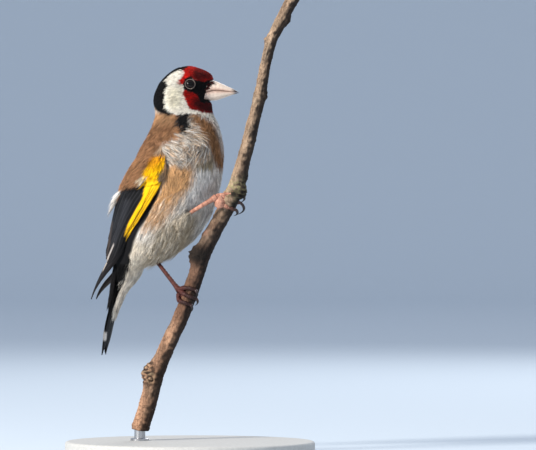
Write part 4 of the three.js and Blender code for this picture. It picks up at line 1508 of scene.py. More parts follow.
        # Darker roots: grey down and painted shade within the coat.
        tint = np.stack([colour * tone for tone in self.root_shade_and_down_tones], axis=1)
        place = unwrap(spine[:, 0], angle)
        order = np.argsort(self.curve_order(spine[:, 0]))
        each = kind.barbs * (2 * kind.spans - 1)
        parts = max(1, math.ceil(len(order) * each / self.piece_limit))
        for part, chosen in enumerate(np.array_split(order, parts)):
            thing = Fans(seed + 7 * part).piece(
                f"coat_{kind.name}_{part + 1}", kind, spine[chosen], normal[chosen], tint[chosen],
                place[chosen], curve, scale[chosen])
            dress(thing, finish, slot)

    @staticmethod
    def mottled(colour: Array, points: Array, angle: Array, random: np.random.Generator) -> Array:
        """Colours varied from feather to feather, with dark and light streaks where the coat is ruffled.

        Args:
            colour: Linear colours.
            points: Points in millimetres.
            angle: Angles round the shape.
            random: The draws to use.

        Returns:
            Linear colours.
        """
        px, py = SHAPE.seen(points[:, 2], angle)
        spot = BODY_PATCHES["spot"].share(px, py)
        streaky = (BODY_PATCHES["streaks"].share(px, py) * (1 - spot))[:, None]
        pick = random.random(len(points))[:, None]
        low = smooth_step(128, 140, py)[:, None]
        dark = np.where(pick < 0.16, mix(0.5, 0.17, low), np.where(pick < 0.34, 0.55, 1.2))
        buff = ((pick > 0.34) & (pick < 0.6 + 0.2 * smooth_step(182, 190, px)[:, None])) * streaky
        colour = colour * mix(1.0, dark, streaky * 0.85)
        colour = mix(colour, linear(192, 158, 122), buff * 0.75)
        patches = Ripple(5, 5.0)(points)[:, None]
        mantle = BODY_PATCHES["mantle"].share(px, py)[:, None]
        colour = colour * (1 + 0.16 * mantle * patches)
        fine = Ripple(6, 1.6)(points)[:, None]
        red = np.maximum(*(HEAD_PATCHES[name].share(px, py) for name in RED_PATCHES))[:, None]
        tone = 1 + red * (0.42 * fine + 0.1 * patches + 0.25 * random.normal(size=fine.shape))
        return colour * np.clip(tone, 0.35, 2.0) * (1 + 0.05 * patches)


# Head fittings


@dataclass(frozen=True)
class EyeSize:
    """Place and size of the eyes."""

    x: float = 0.16
    z: float = 148.6
    radius: float = 2.2
    depth: float = 1.25
    opening: float = 1.78
    lid_ring: float = 2.03
    lid_tube: float = 0.12
    beads: int = 22


EYE = EyeSize()


def eye_place(side: int) -> tuple[Array, Array]:
    """An eyeball's centre and its outward direction.

    Args:
        side: 1 for the right eye, -1 for the left.

    Returns:
        The centre in millimetres and the way.
    """
    x, _, depth, _, _, _ = SHAPE.section(np.array(EYE.z), SHAPE.body)
    angle = math.acos((EYE.x - float(x)) / float(depth))
    surface = SHAPE.point(np.array(EYE.z), np.array(side * angle), SHAPE.body)
    narrow = math.atan(0.22)
    outward = unit(np.array([math.sin(narrow), -side * math.cos(narrow), 0.1]))
    return surface - outward * EYE.depth, outward


@dataclass(frozen=True)
class BillSize:
    """Profile curves of the bill, in height over its length."""

    upper_root: float = 6.4
    lower_root: float = 5.2
    tip: float = 19.6
    culmen: SmoothCurve = SmoothCurve(
        ((5.0, 151.2), (9.76, 150.2), (14.5, 148.2), (17.6, 146.7), (19.6, 145.4)))
    keel: SmoothCurve = SmoothCurve(
        ((5.0, 142.0), (10.6, 142.3), (13.1, 143.1), (16.5, 144.3), (19.6, 145.3)))
    mouth: SmoothCurve = SmoothCurve(
        ((5.0, 145.6), (7.3, 145.8), (9.2, 146.2), (11.1, 146.2), (14.6, 145.9), (19.6, 145.35)))
    half_width: SmoothCurve = SmoothCurve(
        ((5.0, 4.4), (7.0, 3.95), (9.0, 3.4), (12.0, 2.7), (15.0, 1.8), (18.0, 0.75), (19.6, 0.12)))


BILL = BillSize()


HORN_EDGE = SmoothCurve(((141.5, 5.6), (144, 5.8), (146.6, 7.2), (148.4, 8.4), (150.2, 10.0)))


def under_bill(points: Array) -> Array:
    """Where points lie in the bill's horn, so that no feather grows or lies there.

    Args:
        points: Points in millimetres.

    Returns:
        Whether each point lies there.
    """
    x = points[:, 0]
    z = points[:, 2]
    inside = (x > HORN_EDGE(z)) & (z < BILL.culmen(x) - 0.1) & (z > BILL.keel(x) + 0.1)
    across = np.abs(points[:, 1] - SHAPE.head_middle_y)
    return inside & (across < BILL.half_width(x) + 1.6)


def horn_place(x: Array, z: Array, side: Array) -> Array:
    """The point of the bill's side at a length and height.

    Args:
        x: Lengths along the bill.
        z: Heights in millimetres.
        side: 1 for the right side, -1 for the left.

    Returns:
        Points in millimetres.
    """
    seam = BILL.mouth(x)
    upper = z >= seam
    far = np.where(upper, BILL.culmen(x), BILL.keel(x))
    high = np.clip((z - seam) / (far - seam), 0, 0.98) ** (1 / 0.85)
    half = BILL.half_width(x) * np.where(upper, 1.0, 0.9)
    y = SHAPE.head_middle_y - side * half * np.sqrt(1 - high**2)
    return np.stack([x, y, z], axis=-1)


def under_wing(points: Array) -> Array:
    """Where points of the coat would lie over the folded wing's vanes.

    Args:
        points: Points in millimetres.

    Returns:
        Whether each point lies there.
    """
    angle = SHAPE.angle_of(points)
    z = points[:, 2]
    cover = WING_COVER.share(*SHAPE.seen(z, angle)) > 0.5
    return cover & (np.degrees(np.abs(angle)) < WING_REAR(z) - 8) & (z > 77)


@dataclass
class Head:
    """Bill, eyes and lids."""

    horn: Material
    wet: Material
    lid_skin: Material
    bristle_count: int = 900

    def bill(self, upper: bool) -> None:
        """One half of the bill, arched over the mouth line, with its nostrils sunk.

        Args:
            upper: Whether it is the upper half.
        """
        root = BILL.upper_root if upper else BILL.lower_root

        def place(around: Array, along: Array) -> Array:
            """Points of the half, with the ridge outward and a near flat side at the mouth.

            Args:
                around: Shares round the shape.
                along: Shares along it.

            Returns:
                Points in millimetres.
            """
            x = mix(root, BILL.tip, 1 - (1 - along) ** 1.15)
            seam = BILL.mouth(x) + (0.1 if upper else -0.1)
            far = BILL.culmen(x) if upper else BILL.keel(x)
            reach = np.maximum(far - seam, 0.1) if upper else np.minimum(far - seam, -0.1)
            half = BILL.half_width(x) * (1.0 if upper else 0.9)
            turn = around * TURN
            arch = np.where(turn <= math.pi, np.maximum(np.sin(turn), 0) ** 0.85, 0.06 * np.sin(turn))
            ridge = 1 + 0.012 * np.sin(along * 60) * (1 - along)
            pit = np.exp(-((x - 10.5) / 0.75) ** 2 - ((BILL.mouth(x) + reach * arch - 148.5) / 0.42) ** 2)
            shrink = 1 - (0.2 * pit if upper else 0.0)
            y = SHAPE.head_middle_y + half * np.cos(turn) * ridge * shrink
            return np.stack([x, y, seam + reach * arch], axis=-1)

        def tint(around: Array, along: Array) -> Array:
            """Pinkish white horn with painted shade at its root and along the mouth, and a dark tip.

            Args:
                around: Shares round the shape.
                along: Shares along it.

            Returns:
                Linear colours.
            """
            x = mix(root, BILL.tip, 1 - (1 - along) ** 1.15)
            high = np.clip(np.sin(around * TURN), 0, 1)
            # Darker and pinker away from the ridge towards the mouth: partly the horn's pink, partly painted
            # shade.
            base = tinge(plain((228, 209, 192), x), (200, 158, 138), 0.6 * (1 - smooth_step(0.0, 0.4, high)))
            # Painted shade at the root, where the bill meets the feathers.
            base = tinge(base, (176, 148, 134), (1 - smooth_step(6.0, 9.5, x)) * 0.5)
            # The mouth line: a dark brown groove, partly the gape's own colour and partly painted shade
            # between the halves.
            seam = 0.6 * (1 - smooth_step(0.02, 0.13, high)) * (1 - smooth_step(13.5, 17.5, x))
            base = tinge(base, (122, 78, 56), seam)
            if upper:
                dark = np.maximum(smooth_step(15.9, 18.4, x),
                                  smooth_step(0.9, 0.985, high) * smooth_step(9.5, 14.0, x))
            else:
                dark = smooth_step(16.6, 18.8, x) * 0.9
            return tinge(base, (44, 28, 30), dark)

        name = "bill_upper" if upper else "bill_lower"
        thing = shell(f"horn_{name}", 72, 70, place, tint)
        dress(thing, self.horn, "bill", name)

    def eye(self, side: int) -> None:
        """An eyeball with its lids as a beaded ring.

        Args:
            side: 1 for the right, -1 for the left.
        """
        centre, outward = eye_place(side)
        word = "right" if side > 0 else "left"
        bm = bmesh.new()
        bmesh.ops.create_uvsphere(bm, u_segments=48, v_segments=32, radius=EYE.radius * MM)
        turn = Vector((0, 0, 1)).rotation_difference(Vector(outward)).to_matrix()
        layer = bm.verts.layers.float_color.new("tint")
        for vert in bm.verts:
            polar = math.degrees(vert.co.angle(Vector((0, 0, 1))))
            iris = 1.0 if 24 < polar < 50 else 0.0
            vert[layer] = (*mix(linear(5, 4, 5), linear(26, 16, 13), iris), 1.0)
        bmesh.ops.rotate(bm, verts=bm.verts, matrix=turn, cent=(0, 0, 0))
        bmesh.ops.translate(bm, verts=bm.verts, vec=Vector(centre) * MM)
        dress(finished(bm, f"eyeball_{word}", True), self.wet, "eye", f"eye_{word}")
        self.lid(centre, outward, word)

    def lid(self, centre: Array, outward: Array, word: str) -> None:
        """The ring of lid skin round the eye, with small beads along its rim.

        Args:
            centre: The eyeball's centre.
            outward: The way it faces.
            word: The side in words.
        """
        across = unit(np.cross(outward, [0.0, 0.0, 1.0]))
        up = np.cross(across, outward)
        level = math.sqrt(EYE.radius**2 - EYE.opening**2)

        def place(around: Array, along: Array) -> Array:
            """Points of the ring.

            Args:
                around: Shares round the shape.
                along: Shares along it.

            Returns:
                Points in millimetres.
            """
            turn = along * TURN
            lap = around * TURN
            bead = 0.015 * np.sin(turn * EYE.beads)
            tube = EYE.lid_tube + bead
            radial = (EYE.lid_ring + bead + tube * np.cos(lap)) * (1.0 - 0.05 * np.sin(turn) ** 2)
            out = level - 0.08 + tube * 0.9 * np.sin(lap)
            ways = np.cos(turn)[:, None] * across + np.sin(turn)[:, None] * up
            return centre + ways * radial[:, None] + out[:, None] * outward

        def tint(around: Array, along: Array) -> Array:
            """Grey skin, paler at the inner rim."""
            inner = smooth_step(0.0, 0.5, -np.cos(around * TURN))
            return tinge(linear(104, 94, 88), (196, 184, 172), inner)

        thing = shell(f"lids_{word}", 10, 132, place, tint)
        dress(thing, self.lid_skin, "leg_skin")

    def bristles(self, plumage: Material) -> None:
        """Small stiff feathers that point forward over the bill's root.

        Args:
            plumage: The material of small feathers.
        """
        random = np.random.default_rng(91)
        count = self.bristle_count
        side = np.where(np.arange(count) % 2 == 0, 1.0, -1.0)
        z = random.uniform(142.3, 149.8, count)
        edge = HORN_EDGE(z) + 0.25 * random.normal(size=count) - 0.9 * (1 - smooth_step(145.5, 149.5, z))
        start = edge - random.uniform(0.3, 3.2, count) ** 1.1
        keep = start > 5.3
        side, z, edge, start = side[keep], z[keep], edge[keep], start[keep]
        scale = 1 + 0.25 * random.uniform(-1, 1, len(z))
        spine = np.stack([
            horn_place(start + step * BRISTLE.length * scale, z - 0.25 * step * scale, side)
            for step in STEPS], axis=1)
        lean = np.stack([np.full(len(z), 0.25), -side * 0.9, 0.3 * np.sign(z - 145.8)], axis=-1)
        normal = np.repeat(unit(lean)[:, None], 3, axis=1)
        spine = spine + normal * 0.12
        px, py = to_picture(start, z)
        colour = head_colour(plain((20, 17, 18), z), px, py)
        redder = smooth_step(149.4, 150.4, z) + (random.random(len(z)) < 0.12)
        colour = tinge(colour, (96, 14, 12), np.clip(redder, 0, 0.9))
        # Darker roots: partly grey down and partly painted shade among the bristles.
        tint = np.stack([colour * 0.7, colour * 1.1], axis=1)
        place = unwrap(spine[:, 0], side * 0.4)
        thing = Fans(92).piece("coat_bill_bristles", BRISTLE, spine, normal, tint, place, 6.0, scale)
        dress(thing, plumage, "head_plumage")

    def build(self, plumage: Material) -> None:
        """Makes all fittings.

        Args:
            plumage: The material of small feathers.
        """
        for upper in (True, False):
            self.bill(upper)
        for side in (1, -1):
            self.eye(side)
        self.bristles(plumage)


# Wings and tail


@dataclass(frozen=True)
class VaneRow:
    """A row of vanes: count, and at its first and last vane the root, tip, width and lift."""

    count: int
    root_z: Pair
    tip_z: Pair
    root_chord: Pair
    tip_chord: Pair
    width: Pair
    lift: Pair
    tip_lift: Pair
    tilt: float = 0.3
    point: float = 1.0


WING_ROWS = {
    "primaries": VaneRow(8, (110, 107), (62.8, 78.0), (0.05, 0.36), (0.5, 0.42), (3.7, 4.8), (0.1, 0.7),
            (0.15, 0.62)),
    "secondaries": VaneRow(7, (111.5, 109), (76, 82), (0.2, 0.7), (0.44, 0.86), (4.8, 5.4), (0.72, 0.9),
            (0.66, 0.85)),
    "tertials": VaneRow(3, (110, 109), (82.5, 90.5), (0.66, 0.88), (0.76, 0.92), (6.0, 5.6), (1.2, 1.35),
            (1.1, 1.4)),
    "alula": VaneRow(2, (113, 111.5), (108.2, 109.4), (0.03, 0.09), (0.10, 0.15), (1.7, 1.8), (1.4, 1.5),
            (1.6, 1.7)),
    "greater": VaneRow(8, (115, 112), (108.2, 103.6), (0.12, 0.8), (0.12, 0.8), (4.4, 4.8), (1.0, 1.1),
            (0.95, 1.2)),
    "median": VaneRow(8, (118, 115.6), (112.8, 109), (0.08, 0.86), (0.08, 0.86), (4.0, 4.4), (1.1, 1.2),
            (1.2, 1.4)),
}
WING_LEAD = SmoothCurve((
    (124, 88), (116, 76), (107, 74), (100, 79), (94, 86), (88, 92), (82.2, 82), (78.4, 79), (74, 98),
    (69.6, 120), (65, 142), (60, 147),
))
WING_REAR = SmoothCurve((
    (124, 112), (116, 130), (107, 148), (100, 156), (89.6, 162), (82.2, 161), (78.4, 160), (74, 158),
    (69.6, 157), (65, 156), (60, 155),
))
WING_SUNK = 0.85


@dataclass(frozen=True)
class WingSheet:
    """The sheet on which a wing's vanes lie: height, chord share and lift."""

    side: int

    def __call__(self, u: Array, v: Array, lift: Array) -> Array:
        """A point of the sheet, with u the height turned negative and v the chord share.

        Args:
            u: First place on the sheet.
            v: Second place on the sheet.
            lift: Height over the sheet.

        Returns:
            Points in millimetres.
        """
        z = -u
        angle = np.radians(mix(WING_LEAD(z), WING_REAR(z), v)) * self.side
        base = SHAPE.point(z, angle, SHAPE.bed)
        small = 0.05
        around = SHAPE.point(z, angle + small, SHAPE.bed) - SHAPE.point(z, angle - small, SHAPE.bed)
        down = SHAPE.point(z - small, angle, SHAPE.bed) - SHAPE.point(z + small, angle, SHAPE.bed)
        normal = unit(np.cross(around, down))
        x, y, _, _, _, _ = SHAPE.section(z, SHAPE.bed)
        outward = np.stack([base[..., 0] - x, base[..., 1] - y, np.zeros_like(x)], axis=-1)
        facing = np.sign(np.sum(normal * outward, axis=-1, keepdims=True))
        return base + normal * facing * (np.asarray(lift) - WING_SUNK)[..., None]


def laid(sheet: Sheet, line: Callable[[float], tuple[Array, Array, Array]]) -> tuple[Array, Array]:
    """Root, middle and tip of small feathers laid on a sheet, with the normals there.

    Args:
        sheet: The sheet.
        line: Places on the sheet and lifts, from a share of the way along the feathers.

    Returns:
        Points and normals, three for each feather.
    """
    places = [line(step) for step in STEPS]
    spine = [sheet(u, v, lift) for u, v, lift in places]
    above = [sheet(u, v, lift + 1) for u, v, lift in places]
    return np.stack(spine, axis=1), unit(np.stack(above, axis=1) - np.stack(spine, axis=1))


@dataclass
class VaneMaker:
    """Lays long feathers on a sheet as thin closed leaves with a shaft ridge."""

    sheet: Sheet
    made: Feathering
    colour: Sheet
    cells: int = 8
    laid: int = 0
    steps: int = 30
    across: int = 22
    thick: float = 0.16

    def lay(self, start: Pair, end: Pair, width: float,
            lift: Pair, tilt: float, seed: int, point: float = 1.0) -> None:
        """Lays one feather.

        Args:
            start: Its root on the sheet.
            end: Its tip on the sheet.
            width: Its full width.
            lift: Its height over the sheet at root and tip.
            tilt: How much one edge lies over the other.
            seed: Seed of its raggedness.
            point: How pointed the tip is.
        """
        random = np.random.default_rng(seed)
        t = np.linspace(0, 1, self.steps + 1)[:, None]
        s = np.linspace(-1, 1, self.across + 1)[None]
        u, v = self.middle(t, start, end)
        small = 1e-3
        ahead = self.sheet(*self.middle(np.minimum(1, t + small), start, end), 0 * t)
        behind = self.sheet(*self.middle(np.maximum(0, t - small), start, end), 0 * t)
        along = unit(ahead - behind)
        step_u = (self.sheet(u + small, v, 0 * t) - self.sheet(u - small, v, 0 * t)) / (2 * small)
        step_v = (self.sheet(u, v + small, 0 * t) - self.sheet(u, v - small, 0 * t)) / (2 * small)
        side = unit(np.cross(unit(np.cross(step_u, step_v)), along))
        e, f, g = (np.sum(a * b, axis=-1) for a, b in ((step_u, step_u), (step_u, step_v), (step_v, step_v)))
        on_u = np.sum(side * step_u, axis=-1)
        on_v = np.sum(side * step_v, axis=-1)
        det = e * g - f * f
        du = (g * on_u - f * on_v) / det
        dv = (e * on_v - f * on_u) / det
        half = width / 2 * self.profile(t, point) * (1 + 0.03 * random.normal(size=t.shape))
        camber = 0.22 * width / 5 * (1 - s**2) + 0.07 * np.exp(-((s / 0.09) ** 2)) * (1 - 0.7 * t)
        height = mix(lift[0], lift[1], t) + tilt * s / 2 + camber
        at_u = u + du * half * s
        at_v = v + dv * half * s
        top = self.sheet(at_u, at_v, height)
        rim = np.clip((1 - np.abs(s)) * 8, 0.12, 1) * np.clip((1 - t) * 12, 0.12, 1)
        low = self.sheet(at_u, at_v, height - self.thick * rim)
        colour = self.colour(at_u, at_v, np.broadcast_to(s, at_u.shape))
        length = float(np.linalg.norm(np.diff(self.sheet(u, v, 0 * t)[:, 0], axis=0), axis=1).sum())
        grain = np.stack(np.broadcast_arrays(
            s * half + 7.3 * (seed % 17), t * length - np.abs(s) * half * 1.3), axis=-1)
        self.keep(top, low, colour, grain)

    @staticmethod
    def middle(t: Array, start: Pair, end: Pair) -> tuple[Array, Array]:
        """The middle line on the sheet."""
        return mix(start[0], end[0], t), mix(start[1], end[1], t)

    @staticmethod
    def profile(t: Array, point: float) -> Array:
        """A feather's width along its length: narrow root, full middle, rounded tip.

        Args:
            t: Shares along the feather.
            point: How pointed the tip is.

        Returns:
            Shares of the full width.
        """
        root = mix(0.5, 1.0, smooth_step(0, 0.35, t))
        tip = np.sqrt(np.maximum(0.0009, 1 - smooth_step(1 - 0.4 * point, 1.015, t)))
        return root * tip

    def keep(self, top: Array, low: Array, colour: Array, grain: Array) -> None:
        """Adds both faces of a leaf, each with its own cell of the bake map; the lower face is painted darker
        as painted shade.

        Args:
            top: The upper face's points.
            low: The lower face's points.
            colour: Linear colours.
            grain: Places along the web.
        """
        rows, columns = top.shape[:2]
        index = np.arange(rows * columns).reshape(rows, columns)
        quads = np.stack([index[:-1, :-1], index[:-1, 1:], index[1:, 1:], index[1:, :-1]], axis=-1)
        count = rows * columns
        ring = np.concatenate([index[0], index[1:, -1], index[-1, -2::-1], index[-2:0:-1, 0]])
        following = np.roll(ring, -1)
        rim = np.stack([following, ring, ring + count, following + count], axis=-1)
        grid = np.stack(np.meshgrid(*(np.linspace(0.06, 0.94, n) for n in (columns, rows))), axis=-1)
        cells = []
        for face in (0, 1):
            cell = 2 * self.laid + face
            corner = np.array([cell % self.cells, cell // self.cells]) / self.cells
            cells.append(corner + grid / self.cells)
        self.laid += 1
        volume = np.cross(top[1:, :-1] - top[:-1, :-1], top[:-1, 1:] - top[:-1, :-1])
        outward = np.sum(volume * (top - low)[:-1, :-1])
        faces = [quads, quads[..., ::-1] + count, rim]
        if outward > 0:
            faces = [block[..., ::-1] for block in faces]
        # Painted shade: the lower face gets 0.8 of the upper face's colour.
        self.made.add(np.stack([top, low]), faces, np.stack([colour, colour * 0.8]), np.stack(cells),
                      np.stack([grain, grain]))


@dataclass
class Wing:
    """A folded wing: rows of vanes and the soft feathers over its shoulder."""

    side: int
    vane_finish: Material
    soft_finish: Material
    plume_count: int = 110

    def name(self) -> str:
        """The wing's word for its pieces."""
        return "right" if self.side > 0 else "left"

    def tone(self, u: Array, v: Array, s: Array) -> Array:
        """Vane colours: the near wing's markings at this place of the sheet, with painted shade along the
        lower-lying edge.

        Args:
            u: First place on the sheet.
            v: Second place on the sheet.
            s: Shares across the vane.

        Returns:
            Linear colours.
        """
        near = WingSheet(1)(u, v, np.full(u.shape, 1.0))
        px, py = to_picture(near[..., 0], near[..., 2])
        colour = wing_colour(px, py)
        black = 1 - WING_PATCHES["yellow"].share(px, py)
        lines = smooth_step(0.84, 0.97, s) + 0.5 * np.exp(-(((s - 0.38) / 0.07) ** 2))
        lines = lines + 0.6 * np.exp(-(((s + 0.35) / 0.07) ** 2))
        edge = (0.036 * black * lines)[..., None]
        # Painted shade: the edge that lies lower, under its neighbour, is darkened by up to 45%.
        return colour * (1 - 0.45 * smooth_step(0.72, 1.0, -s))[..., None] + edge

    def vanes(self) -> None:
        """All rows of vanes in one piece."""
        sheet = WingSheet(self.side)
        made = Feathering()
        maker = VaneMaker(sheet, made, self.tone, cells=9)
        random = np.random.default_rng(31)
        for row in WING_ROWS.values():
            for k in range(row.count):
                share = k / (row.count - 1)
                stray = random.uniform(-0.5, 0.5, 4)
                start = (-mix(*row.root_z, share) - 0.5 * stray[0], mix(*row.root_chord, share))
                end = (-mix(*row.tip_z, share) - 0.7 * stray[1],
                       mix(*row.tip_chord, share) + 0.012 * stray[2])
                maker.lay(start, end, mix(*row.width, share) * (1 + 0.06 * stray[3]),
                          (mix(*row.lift, share), mix(*row.tip_lift, share)), row.tilt,
                          100 + maker.laid, row.point)
        name = f"wing_{self.name()}"
        dress(made.build(f"vanes_{name}"), self.vane_finish, "wing_plumage", name)

    def shoulder(self) -> None:
        """Soft small feathers over the coverts, brown on the rear half and orange to yellow in front."""
        sheet = WingSheet(self.side)
        random = np.random.default_rng(57)
        kind = SHOULDER
        rows = []
        for z in np.arange(104.5, 124.5, kind.spacing):
            arc = math.radians(float(WING_REAR(z) - WING_LEAD(z))) * float(SHAPE.bed.side(z))
            count = max(2, int(arc * 1.15 / kind.spacing))
            share = (np.arange(count) + random.uniform(0.1, 0.9, count)) / count
            rows.append(np.stack([np.full(count, z) + random.uniform(-0.4, 0.4, count) * kind.spacing,
                                  mix(-0.04, 1.1, share)], axis=1))
        spots = np.concatenate(rows)
        near = WingSheet(1)(-spots[:, 0], spots[:, 1], np.full(len(spots), 1.0))
        px, py = to_picture(near[:, 0], near[:, 2])
        cover = np.maximum(BODY_PATCHES["mantle"].share(px, py), 1 - smooth_step(172, 178, py))
        cover = np.maximum(cover, SCAPULAR.share(px, py))
        cover = cover * (1 - smooth_step(184.0, 187.5, py) * smooth_step(120, 124, px))
        spots = spots[cover > 0.4]
        z, chord = spots.T
        scale = 1 + 0.15 * random.uniform(-1, 1, len(z))
        drift = random.normal(size=len(z)) * 0.01 + 0.012
        ends = smooth_step(0.88, 1.12, chord) + (1 - smooth_step(-0.02, 0.12, chord))
        lift = 1.5 + 0.3 * smooth_step(106, 112, z) - 1.1 * np.clip(ends, 0, 1) * smooth_step(106, 114, z)

        def line(step: float) -> tuple[Array, Array, Array]:
            """Places a share of the way along each feather, lower towards the mantle."""
            u = -(z - step * kind.length * scale)
            return u, chord + drift * step * 2, lift + 0.35 * step - 1.7 * smooth_step(116, 124, -u)

        near = WingSheet(1)(-(z - 0.5 * kind.length), chord, lift)
        colour = shoulder_colour(*to_picture(near[:, 0], near[:, 2]))
        patches = Ripple(5, 5.0)(near)[:, None]
        colour = colour * (1 + 0.14 * patches)
        # Darker roots: partly grey down and partly painted shade within the coat.
        tint = np.stack([colour * 0.62, colour * 1.1], axis=1)
        place = np.stack([0.05 + 0.9 * (chord + 0.1) / 1.3, 0.05 + 0.9 * (z - 100) / 26], axis=1)
        thing = Fans(71).piece(f"coat_shoulder_{self.name()}", kind, *laid(sheet, line), tint, place,
                               14.0, scale)
        dress(thing, self.soft_finish, "wing_plumage")

    def plume(self) -> None:
        """Loose white down of the rump that spills out behind the folded wing."""
        sheet = WingSheet(self.side)
        random = np.random.default_rng(61)
        count = self.plume_count
        z = random.uniform(101.5, 107.0, count)
        chord = random.uniform(0.8, 1.06, count)
        length = random.uniform(4.0, 7.0, count)

        def line(step: float) -> tuple[Array, Array, Array]:
            """Places a share of the way along each feather, rising to the tip."""
            return -(z - step * length), chord + 0.02 * step, mix(1.5, 3.0, step) + 0.5 * (chord - 1.0)

        grey = random.random((count, 1))
        colour = mix(linear(232, 228, 222), linear(170, 158, 146), grey * smooth_step(106.5, 104, z)[:, None])
        # Darker roots: partly grey down and partly painted shade within the plume.
        tint = np.stack([colour * 0.75, colour * 1.05], axis=1)
        place = np.stack([0.1 + 0.8 * (chord - 0.9), 0.1 + 0.8 * (z - 100) / 12], axis=1)
        thing = Fans(63).piece(f"coat_rump_plume_{self.name()}", PLUME, *laid(sheet, line), tint, place,
                               9.0, length / PLUME.length)
        dress(thing, self.soft_finish, "body_plumage")

    def build(self) -> None:
        """Makes the wing."""
        self.vanes()
        self.shoulder()
        self.plume()


@dataclass(frozen=True)
class TailSheet:
    """The flat sheet on which the tail's vanes lie: distance from its root, sideways, and lift."""

    root: Triple = (-26.4, 14.9, 81.0)
    tip: Triple = (-35.9, 20.1, 40.2)
    yaw: float = math.radians(20)

    def axes(self) -> tuple[Array, Array, Array, Array]:
        """The root, the axis, the right-hand way and the way that the underside faces."""
        root = np.array(self.root)
        axis = unit(np.array(self.tip) - root)
        right = np.array([-math.sin(self.yaw), -math.cos(self.yaw), 0.0])
        right = unit(right - axis * (right @ axis))
        under = np.cross(axis, right)
        return root, axis, right, under if under[0] > 0 else -under

    def length(self) -> float:
        """The distance from root to tip."""
        return float(np.linalg.norm(np.array(self.tip) - np.array(self.root)))

    def __call__(self, u: Array, v: Array, lift: Array) -> Array:
        """A point of the sheet.

        Args:
            u: First place on the sheet.
            v: Second place on the sheet.
            lift: Height over the sheet.

        Returns:
            Points in millimetres.
        """
        root, axis, right, under = self.axes()
        parts = np.broadcast_arrays(u, v, lift)
        return root + sum(part[..., None] * way for part, way in zip(parts, (axis, right, under)))


@dataclass
class Tail:
    """Twelve tail feathers with white spots, and the coverts over and under their roots."""

    vane_finish: Material
    soft_finish: Material
    pairs: int = 6
    width: float = 5.6
    root_spread: float = 0.5
    tip_spread: float = 1.6
    layer: float = 0.21
    notch: float = 3.6
    start: float = 9.0
    under_rise: SmoothCurve = SmoothCurve(
        ((4.0, 9.0), (9.3, 7.2), (12.4, 4.9), (15.0, 3.9), (19.2, 2.7), (23.3, 2.0), (27.0, 1.4)))

    def tone(self, u: Array, v: Array, s: Array) -> Array:
        """Black with white spots towards the tips and a pale left edge higher up.

        Args:
            u: First place on the sheet.
            v: Second place on the sheet.
            s: Shares across the vane.

        Returns:
            Linear colours.
        """
        place = TailSheet()(u, v, np.full(u.shape, 0.3))
        base = plain((17, 16, 17), u)
        for patch in TAIL_PATCHES:
            base = paint(base, patch, *to_picture(place[..., 0], place[..., 2]))
        return base * (1 - 0.35 * smooth_step(0.75, 1.0, np.abs(s)))[..., None]

    def vanes(self) -> None:
        """The tail feathers."""
        sheet = TailSheet()
        made = Feathering()
        maker = VaneMaker(sheet, made, self.tone, cells=6)
        random = np.random.default_rng(41)
        for pair in range(self.pairs):
            for side in (1, -1):
                share = pair / (self.pairs - 1)
                reach = sheet.length() - self.notch * (1 - share) ** 1.3
                reach = reach + 0.4 * float(random.uniform(-0.5, 0.5))
                level = self.layer * pair - 0.45
                maker.lay((self.start, side * self.root_spread * share),
                          (reach, side * (0.35 + self.tip_spread * share)), self.width * (1 - 0.12 * share),
                          (level, level + 0.1), -0.12 * side, 300 + maker.laid, 0.8)
        dress(made.build("vanes_tail"), self.vane_finish, "tail_plumage", "tail")

    def coverts(self) -> None:
        """Long soft coverts: pale ones under the tail and black ones over it."""
        sheet = TailSheet()
        random = np.random.default_rng(43)
        made = Feathering()
        for face, count, first, last, reach_high, edges, colour in (
                (1, 1300, 2.0, 20.0, 28.0, (-1.0, 0.8), UNDERTAIL_COLOUR),
                (-1, 800, 2.0, 17.0, 24.0, (-0.9, 1.0), (22, 20, 21))):
            start = random.uniform(first, last, count)
            across = random.uniform(*edges, count)
            length = np.minimum(random.uniform(5.5, 9.0, count), reach_high - start)
            points = []
            normals = []
            for step in STEPS:
                u = start + step * length
                fade = np.clip((u - 4) / 18, 0, 1)
                rise = self.under_rise(u) if face > 0 else mix(2.8, 1.2, fade)
                arch = np.sqrt(1 - 0.95 * across**2)
                near = (across > 0) & (face > 0)
                v = across * mix(np.where(near, 2.4, 4.2), np.where(near, 1.5, 2.4), fade)
                points.append(sheet(u, v, face * rise * arch))
                normals.append(unit(sheet(u, v + across, face * (rise + 1.0) * arch) - points[-1]))
            tone = plain(colour, start)
            # Darker roots: partly grey down and partly painted shade among the coverts.
            tint = np.stack([tone * 0.7, tone * 1.1], axis=1)
            place = np.stack([0.5 + 0.2 * face + 0.15 * across, 0.1 + 0.8 * start / 12], axis=1)
            made.add(*Fans(83 + face).barbs(COVERT, np.stack(points, axis=1), np.stack(normals, axis=1), tint,
                                            place, 5.0, length / COVERT.length))
        dress(made.build("coat_tail_coverts"), self.soft_finish, "tail_plumage")

    def build(self) -> None:
        """Makes the tail."""
        self.vanes()
        self.coverts()


# Branch, legs and feet


